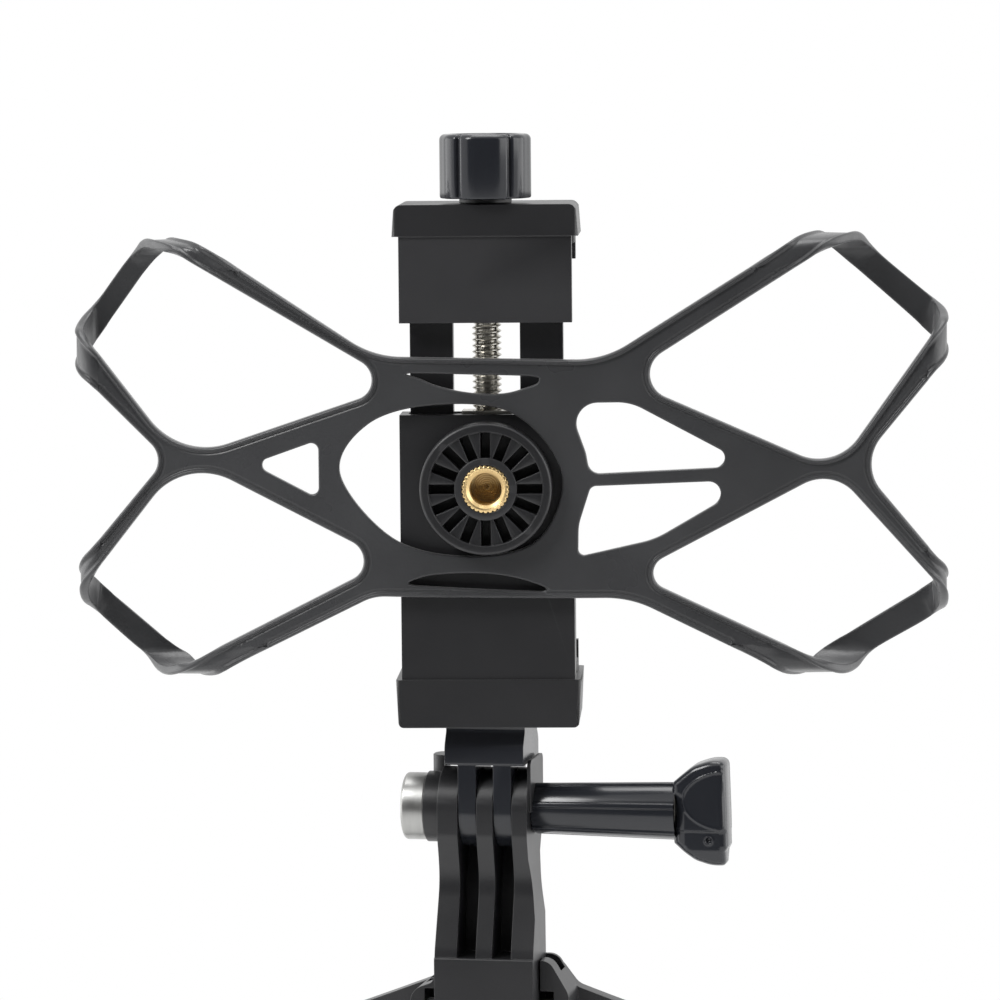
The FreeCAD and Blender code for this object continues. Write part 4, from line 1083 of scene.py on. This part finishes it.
@dataclass
class ClampShell:
    """The clamp's fixed half and sliding jaw: eased mouldings, ribbed pads and small fasteners."""

    paint: Paint
    edge: float = 0.28
    fine_edge: float = 0.12
    pad_half: float = 14.6
    pad_front: float = -1.0
    pad_back: float = 8.2
    pad_low: float = 23.0
    pad_high: float = 95.2
    pad_thick: float = 1.9
    rib_pitch: float = 1.6
    rib_depth: float = 0.35

    def pad(self, name: str, node: str, body: str, base: float, up: int) -> bpy.types.Object:
        """Make a rubber jaw pad with shallow ribs across it.

        Args:
            name: The piece's name.
            node: The node that it replaces.
            body: The body that it rides on.
            base: Height of its seated face.
            up: 1 where the ribs face up, -1 where they face down.

        Returns:
            The dressed pad.
        """
        ribs = int(2 * self.pad_half / self.rib_pitch)
        xs = np.linspace(-self.pad_half, self.pad_half, ribs * 8 + 1)
        phase = (xs + self.pad_half) / (2 * self.pad_half) * ribs
        crest = self.pad_thick - self.rib_depth * np.clip(1.6 * np.abs(np.cos(math.pi * phase)) ** 6, 0, 1)
        profile = [(x, base + up * h) for x, h in zip(xs, crest)]
        profile += [(self.pad_half, base), (-self.pad_half, base)]
        rows = []
        for y, inset in ((self.pad_front, 0.25), (self.pad_front + 0.25, 0), (self.pad_back - 0.25, 0),
                         (self.pad_back, 0.25)):
            rows.append([(x * (1 - inset / self.pad_half), y, base + (z - base) * (1 - inset * 0.5)) for x, z in profile])
        blank = Blank()
        blank.grid(np.array(rows), close_columns=True)
        count = len(profile)
        blank.add(np.array(rows[0] + rows[-1]), [tuple(range(count)), tuple(range(2 * count - 1, count - 1, -1))])
        piece = blank.piece(name, CLAMP_PLACE, 40)
        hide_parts(node)
        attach(piece, body)
        self.paint.dress(piece, Finish.PAD)
        return piece

    def build(self) -> list[bpy.types.Object]:
        """Build and dress the clamp's mouldings.

        Returns:
            The new pieces.
        """
        pieces = []
        for node, name, body, width, finish in (
                ("clamp_body", "body_moulding", "clamp", self.edge, Finish.SATIN),
                ("back_cover", "cover_moulding", "clamp", self.fine_edge, Finish.SATIN),
                ("cover_screws", "cover_screw_set", "clamp", 0.05, Finish.SCREW),
                ("screw_nut", "trapped_nut", "clamp", self.fine_edge, Finish.SCREW),
                ("base_insert", "stud_bush", "clamp", self.fine_edge, Finish.BRASS),
                ("upper_jaw", "jaw_moulding", "jaw", self.edge, Finish.SATIN)):
            piece = eased(node, name, width)
            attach(piece, body)
            self.paint.dress(piece, finish)
            pieces.append(piece)
        pieces.append(self.pad("lower_rib_pad", "lower_jaw_pad", "clamp", self.pad_low, 1))
        pieces.append(self.pad("upper_rib_pad", "upper_jaw_pad", "jaw", self.pad_high + self.pad_thick, -1))
        return pieces


@dataclass
class ScrewDrive:
    """The knob, its threaded screw, washer and clip."""

    paint: Paint
    screw_y: float = -5.1
    crest: float = 2.45
    root: float = 1.95
    pitch: float = 1.0
    low: float = 45.0
    thread_top: float = 100.0
    top: float = 111.0
    knob_low: float = 103.3
    knob_high: float = 114.0
    knob_r: float = 7.65
    groove_half: float = 0.36
    groove_depth: float = 0.62
    facet_flat: float = 0.2
    lobes: int = 5
    round_top: float = 0.95
    dish_r: float = 5.6
    dish: float = 0.4

    def knob_radius(self, turn: np.ndarray) -> np.ndarray:
        """Radius of the knob at each angle: slightly flattened lobes between narrow grooves."""
        lobe = 2 * math.pi / self.lobes
        local = (turn + lobe / 2) % lobe - lobe / 2
        to_groove = (lobe / 2 - np.abs(local)) * self.knob_r
        flat = self.facet_flat * np.cos(local / lobe * 2 * math.pi) ** 2
        wall = np.clip((self.groove_half - to_groove) / 0.12 + 0.5, 0, 1)
        shoulder = 0.22 * np.clip(1 - (to_groove - self.groove_half) / 0.5, 0, 1) ** 2
        return self.knob_r - flat - shoulder - (self.groove_depth - 0.22) * wall

    def knob(self) -> bpy.types.Object:
        """Build the knob."""
        turn = np.linspace(0, 2 * math.pi, 540, endpoint=False)
        radius = self.knob_radius(turn + math.pi / 2)
        z0, z1, r = self.knob_low, self.knob_high, self.round_top
        levels = [(0.35, z0), (0.1, z0 + 0.1), (0.0, z0 + 0.35), (0.0, z1 - r)]
        levels += [(r * (1 - math.cos(a)), z1 - r + r * math.sin(a)) for a in np.linspace(0.2, math.pi / 2, 6)]
        rows = [np.stack(((radius - inset) * np.cos(turn), self.screw_y + (radius - inset) * np.sin(turn),
                          np.full(len(turn), z)), 1) for inset, z in levels]
        for flat_r, z in ((self.dish_r + 0.25, z1), (self.dish_r, z1 - 0.1), (self.dish_r - 0.2, z1 - self.dish),
                          (2.0, z1 - self.dish - 0.05), (0.01, z1 - self.dish - 0.05)):
            rows.append(np.stack((flat_r * np.cos(turn), self.screw_y + flat_r * np.sin(turn),
                                  np.full(len(turn), z)), 1))
        under = np.stack((self.crest * np.cos(turn), self.screw_y + self.crest * np.sin(turn),
                          np.full(len(turn), z0)), 1)
        blank = Blank()
        blank.grid(np.array([under] + rows), close_columns=True)
        piece = blank.piece("knob_moulding", CLAMP_PLACE, 40)
        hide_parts("clamp_knob")
        return piece

    def screw(self) -> bpy.types.Object:
        """Build the screw with its helical thread."""
        blank = Blank()
        centre = (0.0, self.screw_y, 0.0)
        blank.thread(self.root, self.crest, self.pitch, self.low + 0.6, self.thread_top, Axis.Z, centre)
        blank.lathe([(0.01, self.low), (self.root - 0.4, self.low), (self.root, self.low + 0.5),
                     (self.root - 0.01, self.thread_top + 0.4), (self.crest, self.thread_top + 0.9),
                     (self.crest, self.top), (0.01, self.top)], Axis.Z, centre, 64)
        piece = blank.piece("threaded_screw", CLAMP_PLACE, 50)
        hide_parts("clamp_screw")
        return piece

    def build(self) -> list[bpy.types.Object]:
        """Build and dress the screw drive.

        Returns:
            The new pieces.
        """
        pieces = [self.knob(), self.screw(), eased("knob_washer", "thin_washer", 0.12),
                  eased("screw_clip", "ring_clip", 0.1)]
        for piece, finish in zip(pieces, (Finish.GLOSS, Finish.SCREW, Finish.SATIN, Finish.SCREW)):
            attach(piece, "knob")
            self.paint.dress(piece, finish)
        return pieces


@dataclass
class AccessoryBoss:
    """The round boss on the clamp's front, its radial grooves and the knurled brass thread."""

    paint: Paint
    centre: tuple[float, float, float] = (0.0, 0.0, 55.4)
    face: float = -15.5
    foot: float = -10.0
    rim_r: float = 11.0
    rim_inner: float = 9.45
    rim_round: float = 0.55
    step: float = 0.4
    hub_r: float = 5.2
    insert_r: float = 3.95
    bore_r: float = 2.6
    grooves: int = 16
    groove_half: float = 0.72
    groove_depth: float = 3.0
    knurl_teeth: int = 30
    knurl_depth: float = 0.24
    brass_face: float = -15.65
    bore_end: float = -9.65

    def ring_rows(self) -> list[tuple[float, float]]:
        """Radius and depth of the boss's face from the hub out to the rim, away from the grooves."""
        floor = self.face + self.step
        return [(self.insert_r, self.face + 1.5), (self.insert_r, self.face + 0.12), (self.insert_r + 0.12, self.face),
                (self.hub_r - 0.15, self.face), (self.hub_r, self.face + 0.08), (self.hub_r + 0.12, floor),
                (self.hub_r + 0.3, floor), (7.0, floor), (self.rim_inner - 0.02, floor),
                (self.rim_inner, floor - 0.06), (self.rim_inner + 0.03, self.face + 0.1),
                (self.rim_inner + 0.12, self.face), (self.rim_inner + 0.3, self.face)]

    def moulding(self) -> bpy.types.Object:
        """Build the black moulding with sixteen radial grooves."""
        sector = 2 * math.pi / self.grooves
        rows = []
        for radius, depth in self.ring_rows():
            row = []
            grooved = self.hub_r + 0.1 < radius < self.rim_inner - 0.01
            half = self.groove_half / max(radius, self.hub_r)
            soft = 0.1 / max(radius, self.hub_r)
            for i in range(self.grooves):
                middle = i * sector + math.pi / 2
                stops = (-sector / 2, -half - soft - 0.02, -half - soft, -half, 0.0, half, half + soft, half + soft + 0.02)
                for k, stop in enumerate(stops):
                    sunk = self.groove_depth if grooved and k in (3, 4, 5) else 0.0
                    sunk += 0.06 if grooved and k in (2, 6) else 0.0
                    row.append((radius * math.cos(middle + stop), depth + sunk,
                                self.centre[2] + radius * math.sin(middle + stop)))
            rows.append(row)
        blank = Blank()
        blank.grid(np.array(rows), close_columns=True)
        r = self.rim_round
        rim = [(self.rim_inner + 0.3, 0.0)]
        rim += [(self.rim_r - r + r * math.sin(a), r - r * math.cos(a)) for a in np.linspace(0, math.pi / 2, 7)]
        rim += [(self.rim_r, self.foot - self.face - 0.3), (self.rim_r, self.foot - self.face + 0.02)]
        blank.lathe([(radius, self.face + depth) for radius, depth in rim], Axis.Y, (0, 0, self.centre[2]), 128)
        piece = blank.piece("boss_moulding", CLAMP_PLACE, 40)
        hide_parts("accessory_boss")
        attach(piece, "clamp")
        self.paint.dress(piece, Finish.SATIN)
        return piece

    def brass(self) -> bpy.types.Object:
        """Build the knurled brass insert with its thread."""
        turn = np.linspace(0, 2 * math.pi, self.knurl_teeth * 8, endpoint=False)
        notch = np.clip(1.4 * np.cos(turn * self.knurl_teeth / 2) ** 8, 0, 1)
        blank = Blank()
        face = self.brass_face
        rows = []
        for radius, depth, knurl in ((self.bore_r + 0.62, face + 0.12, 0), (self.insert_r - 0.45, face, 0),
                                     (self.insert_r - 0.32, face + 0.02, 0.2), (self.insert_r - 0.02, face + 0.14, 1),
                                     (self.insert_r, face + 0.95, 1)):
            reach = radius - knurl * self.knurl_depth * notch
            rows.append(np.stack((reach * np.cos(turn), np.full(len(turn), depth),
                                  self.centre[2] + reach * np.sin(turn)), 1))
        blank.grid(np.array(rows), close_columns=True)
        mid = (0, 0, self.centre[2])
        blank.lathe([(self.bore_r + 0.62, face + 0.12), (self.bore_r + 0.1, face + 0.55),
                     (self.bore_r + 0.28, face + 0.65)], Axis.Y, mid, 96)
        blank.thread(self.bore_r + 0.3, self.bore_r, 1.27, face + 0.3, self.bore_end, Axis.Y, mid, 48)
        rings = [(r, self.bore_end - 0.2 + (0.05 if k % 2 else 0.0)) for k, r in
                 enumerate(np.arange(self.bore_r - 0.1, 0.35, -0.17))]
        blank.lathe([(self.bore_r + 0.3, self.bore_end - 0.3), *rings, (0.3, self.bore_end - 0.2),
                     (0.2, self.bore_end + 0.1), (0.01, self.bore_end + 0.2)], Axis.Y, mid, 64)
        piece = blank.piece("knurled_insert", CLAMP_PLACE, 30)
        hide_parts("accessory_insert")
        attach(piece, "clamp")
        self.paint.dress(piece, Finish.BRASS)
        return piece

    def build(self) -> list[bpy.types.Object]:
        """Build and dress the boss and its insert."""
        return [self.moulding(), self.brass()]


@dataclass
class Thumbscrew:
    """The long thumbscrew: fluted, tapered shaft and a head with a raised half-oval pad."""

    paint: Paint
    start: float = 7.2
    shaft_length: float = 24.27
    shaft_r: float = 4.5
    shaft_end_r: float = 5.1
    flutes: int = 6
    rib_half: float = 0.45
    rib_rise: float = 0.35
    head_length: float = 9.25
    head_half: float = 8.95
    head_thick: float = 7.4
    head_round: float = 1.2
    pad_rise: float = 0.16
    recess: float = 0.35
    ramp_fall: float = 0.75
    crescent_slope: float = 0.5
    dimple: Point2 = (37.6, -4.4)
    dimple_r: float = 0.42
    dimple_ring: float = 0.72
    bolt_r: float = 2.45

    def shaft(self, blank: Blank) -> None:
        """Add the shaft: broad facets between narrow ribs, growing towards the head."""
        turn = np.linspace(0, 2 * math.pi, 360, endpoint=False)
        lobe = 2 * math.pi / self.flutes
        local = (turn + 0.28) % lobe
        rows = []
        for x, share, close in ((self.start, 0, 0.5), (self.start + 0.15, 0.01, 0.15), (self.start + 0.5, 0.02, 0.0),
                                (self.start + self.shaft_length / 2, 0.5, 0.0),
                                (self.start + self.shaft_length - 0.4, 1, 0.0),
                                (self.start + self.shaft_length + 0.4, 1, 0.0)):
            radius = self.shaft_r + (self.shaft_end_r - self.shaft_r) * share
            to_rib = np.minimum(local, lobe - local) * radius
            rib = np.clip((self.rib_half - to_rib) / 0.18 + 0.5, 0, 1)
            hollow = self.rib_rise * (1 - rib)
            reach = radius - close - hollow
            rows.append(np.stack((np.full(len(turn), x), reach * np.cos(turn), reach * np.sin(turn)), 1))
        core = np.stack((np.full(len(turn), self.start), self.bolt_r * np.cos(turn), self.bolt_r * np.sin(turn)), 1)
        blank.grid(np.array([core] + rows), close_columns=True)

    def head(self, blank: Blank) -> None:
        """Add the head: a rounded slab with a raised half-oval pad and a small dimple on each face."""
        neck = self.start + self.shaft_length
        end = neck + self.head_length
        top = self.head_half
        outline = arc_outline([(neck, -5.2, 0.5), (neck + 1.4, -6.3, 3), (neck + 3.6, -8.1, 4),
                               (neck + 6.4, -top - 0.1, 6), (end - 0.45, -top, 0.8), (end - 0.4, -6.4, 0.2),
                               (end, -5.6, 0.5), (end - 0.1, 0.0, 60), (end - 0.4, top, 1.15), (neck + 6.2, top, 6),
                               (neck + 3.4, 8.0, 4), (neck + 1.4, 6.4, 3), (neck, 5.2, 0.5)], 0.3)
        plan = SheetPlan([outline], [[Rim.PLAIN] * len(outline)], (0.1, 0.22, 0.4, 0.6, 0.85, 1.1, 1.3), 0.17)
        plan.mesh()
        x, z = plan.points[:, 0], plan.points[:, 1]
        edge = np.clip(plan.to_plain / self.head_round, 0, 1)
        half = self.head_thick / 2 - self.head_round * (1 - np.sqrt(1 - (1 - edge) ** 2))
        pad = 5.0 * (1 - np.sqrt(((x - end - 0.8) / 8.2) ** 2 + ((z - 2.35) / 5.05) ** 2))
        pad = np.minimum(pad, end - 0.75 - x)
        ramp = np.clip((neck + 2.1 - x) / 1.8, 0, 1) * np.clip((3.4 - z) / 1.2, 0, 1)
        half = half - self.ramp_fall * ramp * np.clip(-8 * pad, 0, 1)
        half = half - self.recess * np.clip((-2.75 - z) / 0.2, 0, 1)
        half = half - self.crescent_slope * np.clip(-6.25 - z, 0, 3)
        ridge = np.clip(1 - np.abs(pad) / 0.22, 0, 1)
        half = half + self.pad_rise * ridge * ridge * (3 - 2 * ridge)
        ring = np.hypot(x - self.dimple[0], z - self.dimple[1])
        half = half - 0.5 * np.clip((self.dimple_r - ring) / 0.2 + 0.5, 0, 1)
        half = half + 0.12 * np.clip(1 - np.abs(ring - self.dimple_ring) / 0.16, 0, 1)
        count = len(x)
        faces = [tuple(reversed(t)) for t in plan.triangles] + [tuple(i + count for i in t) for t in plan.triangles]
        faces += [(a, b, b + count, a + count) for a, b in plan.edge_runs]
        blank.add(np.concatenate((np.stack((x, -half, z), 1), np.stack((x, half, z), 1))), faces)

    def build(self) -> list[bpy.types.Object]:
        """Build and dress the thumbscrew.

        Returns:
            The grip and the bolt.
        """
        blank = Blank()
        self.shaft(blank)
        self.head(blank)
        grip = blank.piece("thumb_grip", BASE_PLACE, 38)
        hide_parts("thumbscrew_grip")
        bolt = eased("thumbscrew_bolt", "hinge_bolt", 0.3)
        for piece, finish in ((grip, Finish.GLOSS), (bolt, Finish.SCREW)):
            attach(piece, "thumbscrew")
            self.paint.dress(piece, finish)
        return [grip, bolt]


@dataclass
class HingeAndArm:
    """The two-prong adapter, its stud, the hook arm and the metal nut."""

    paint: Paint
    edge: float = 0.22
    nut_edge: float = 0.25
    head_edge: float = 0.12

    def build(self) -> list[bpy.types.Object]:
        """Build and dress the hinge and arm.

        Returns:
            The new pieces.
        """
        pieces = []
        for node, name, body, width, finish in (
                ("hinge_adapter", "two_prong_moulding", "adapter", self.head_edge, Finish.GLOSS),
                ("tripod_stud", "steel_stud", "adapter", 0.15, Finish.SCREW),
                ("hook_arm", "hook_arm_moulding", "arm", self.edge, Finish.SATIN),
                ("hinge_nut", "round_nut", "arm", self.nut_edge, Finish.NUT)):
            piece = eased(node, name, width)
            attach(piece, body)
            self.paint.dress(piece, finish)
            pieces.append(piece)
        return pieces


@dataclass
class HelmetFoot:
    """The curved base and its foam pad."""

    paint: Paint
    edge: float = 0.3
    foam_edge: float = 0.45

    def build(self) -> list[bpy.types.Object]:
        """Build and dress the base and its pad.

        Returns:
            The new pieces.
        """
        base = eased("helmet_base", "base_moulding", self.edge)
        foam = eased("adhesive_pad", "foam_pad", self.foam_edge)
        for piece, finish in ((base, Finish.SATIN), (foam, Finish.FOAM)):
            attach(piece, "base")
            self.paint.dress(piece, finish)
        return [base, foam]


@dataclass
class Studio:
    """Camera, soft lamps, pale floor and a white world."""

    camera_at: tuple[float, float, float] = (0.03737, -0.9072, 0.17495)
    target: tuple[float, float, float] = (0.00049, -0.0081, 0.09495)
    roll: float = -0.5
    lens: float = 192.9
    floor_z: float = -0.17
    floor_size: float = 1.6
    floor_colour: tuple[float, float, float, float] = (0.9, 0.9, 0.9, 1)
    world_light: float = 0.6
    card_half: float = 1.4
    card_at: float = -1.3

    def camera(self) -> None:
        """Set the camera at the photograph's angle."""
        data = bpy.data.cameras.new("camera")
        data.lens = self.lens
        data.clip_start = 0.05
        eye = bpy.data.objects.new("camera", data)
        bpy.context.scene.collection.objects.link(eye)
        look = Vector(self.target) - Vector(self.camera_at)
        turn = look.to_track_quat("-Z", "Y").to_matrix().to_4x4()
        eye.matrix_world = Matrix.Translation(self.camera_at) @ turn @ Matrix.Rotation(math.radians(self.roll), 4, "Z")
        bpy.context.scene.camera = eye

    def lamp(self, name: str, place: Sequence[float], size: float, power: float) -> None:
        """Add a square soft lamp that faces the part.

        Args:
            name: The lamp's name.
            place: Where it stands, in metres.
            size: Its width.
            power: Its power in watts.
        """
        data = bpy.data.lights.new(name, "AREA")
        data.size = size
        data.energy = power
        lamp = bpy.data.objects.new(name, data)
        lamp.location = place
        lamp.rotation_euler = (Vector(self.target) - Vector(place)).to_track_quat("-Z", "Y").to_euler()
        bpy.context.scene.collection.objects.link(lamp)

    def floor(self) -> None:
        """Lay a plain pale floor under the part."""
        half = self.floor_size / 2
        mesh = bpy.data.meshes.new("floor")
        mesh.from_pydata([(-half, -half, self.floor_z), (half, -half, self.floor_z), (half, half, self.floor_z),
                          (-half, half, self.floor_z)], [], [(0, 1, 2, 3)])
        floor = bpy.data.objects.new("floor", mesh)
        bpy.context.scene.collection.objects.link(floor)
        graph = Graph("pale_floor")
        graph.shader.inputs["Base Color"].default_value = self.floor_colour
        graph.shader.inputs["Roughness"].default_value = 0.8
        mesh.materials.append(graph.material)

    def card(self) -> None:
        """Stand a dark card behind the camera, for the mouldings' front faces to reflect."""
        half, middle = self.card_half, self.target[2]
        mesh = bpy.data.meshes.new("dark_card")
        mesh.from_pydata([(x, self.card_at, middle + z) for x, z in
                          ((-half, -half), (half, -half), (half, half), (-half, half))], [], [(0, 1, 2, 3)])
        card = bpy.data.objects.new("dark_card", mesh)
        bpy.context.scene.collection.objects.link(card)
        card.visible_camera = False
        graph = Graph("dark_cloth")
        graph.shader.inputs["Base Color"].default_value = (0.02, 0.02, 0.02, 1)
        graph.shader.inputs["Roughness"].default_value = 0.9
        mesh.materials.append(graph.material)

    def world(self) -> None:
        """Light the part evenly, and show white to the camera and in reflections."""
        world = bpy.data.worlds.new("studio")
        bpy.context.scene.world = world
        world.use_nodes = True
        tree = world.node_tree
        white = tree.nodes["Background"]
        white.inputs["Color"].default_value = (1, 1, 1, 1)
        path = tree.nodes.new("ShaderNodeLightPath")
        seen = path.outputs["Is Camera Ray"]
        for name in ("Is Glossy Ray", "Is Transmission Ray"):
            node = tree.nodes.new("ShaderNodeMath")
            node.operation = "MAXIMUM"
            tree.links.new(seen, node.inputs[0])
            tree.links.new(path.outputs[name], node.inputs[1])
            seen = node.outputs["Value"]
        level = tree.nodes.new("ShaderNodeMapRange")
        level.inputs["To Min"].default_value = self.world_light
        level.inputs["To Max"].default_value = 1.0
        tree.links.new(seen, level.inputs["Value"])
        tree.links.new(level.outputs["Result"], white.inputs["Strength"])

    def build(self) -> None:
        """Set up the whole studio."""
        bpy.context.scene.view_settings.view_transform = "Standard"
        self.camera()
        self.floor()
        self.card()
        self.world()
        self.lamp("key", (-0.8, -0.7, 1.0), 0.5, 11)
        self.lamp("fill", (1.1, -0.5, 0.5), 0.8, 4)
        self.lamp("top", (0.1, 0.2, 1.3), 0.8, 9)
        self.lamp("left_panel", (-1.2, 0.25, 0.15), 1.0, 6)
        self.lamp("right_panel", (1.2, 0.25, 0.15), 1.0, 5)


def main() -> None:
    """Build every sub-assembly in order and report its pieces."""
    logging.basicConfig(level=logging.INFO, format="%(message)s")
    paint = Paint()
    Studio().build()
    for assembly in (ClampShell(paint), ScrewDrive(paint), AccessoryBoss(paint), StretchWeb(paint),
                     HingeAndArm(paint), Thumbscrew(paint), HelmetFoot(paint)):
        for piece in assembly.build():
            LOG.info("%s: %s, %d faces", type(assembly).__name__, piece.name, len(piece.data.polygons))


if __name__ == "__main__":
    main()
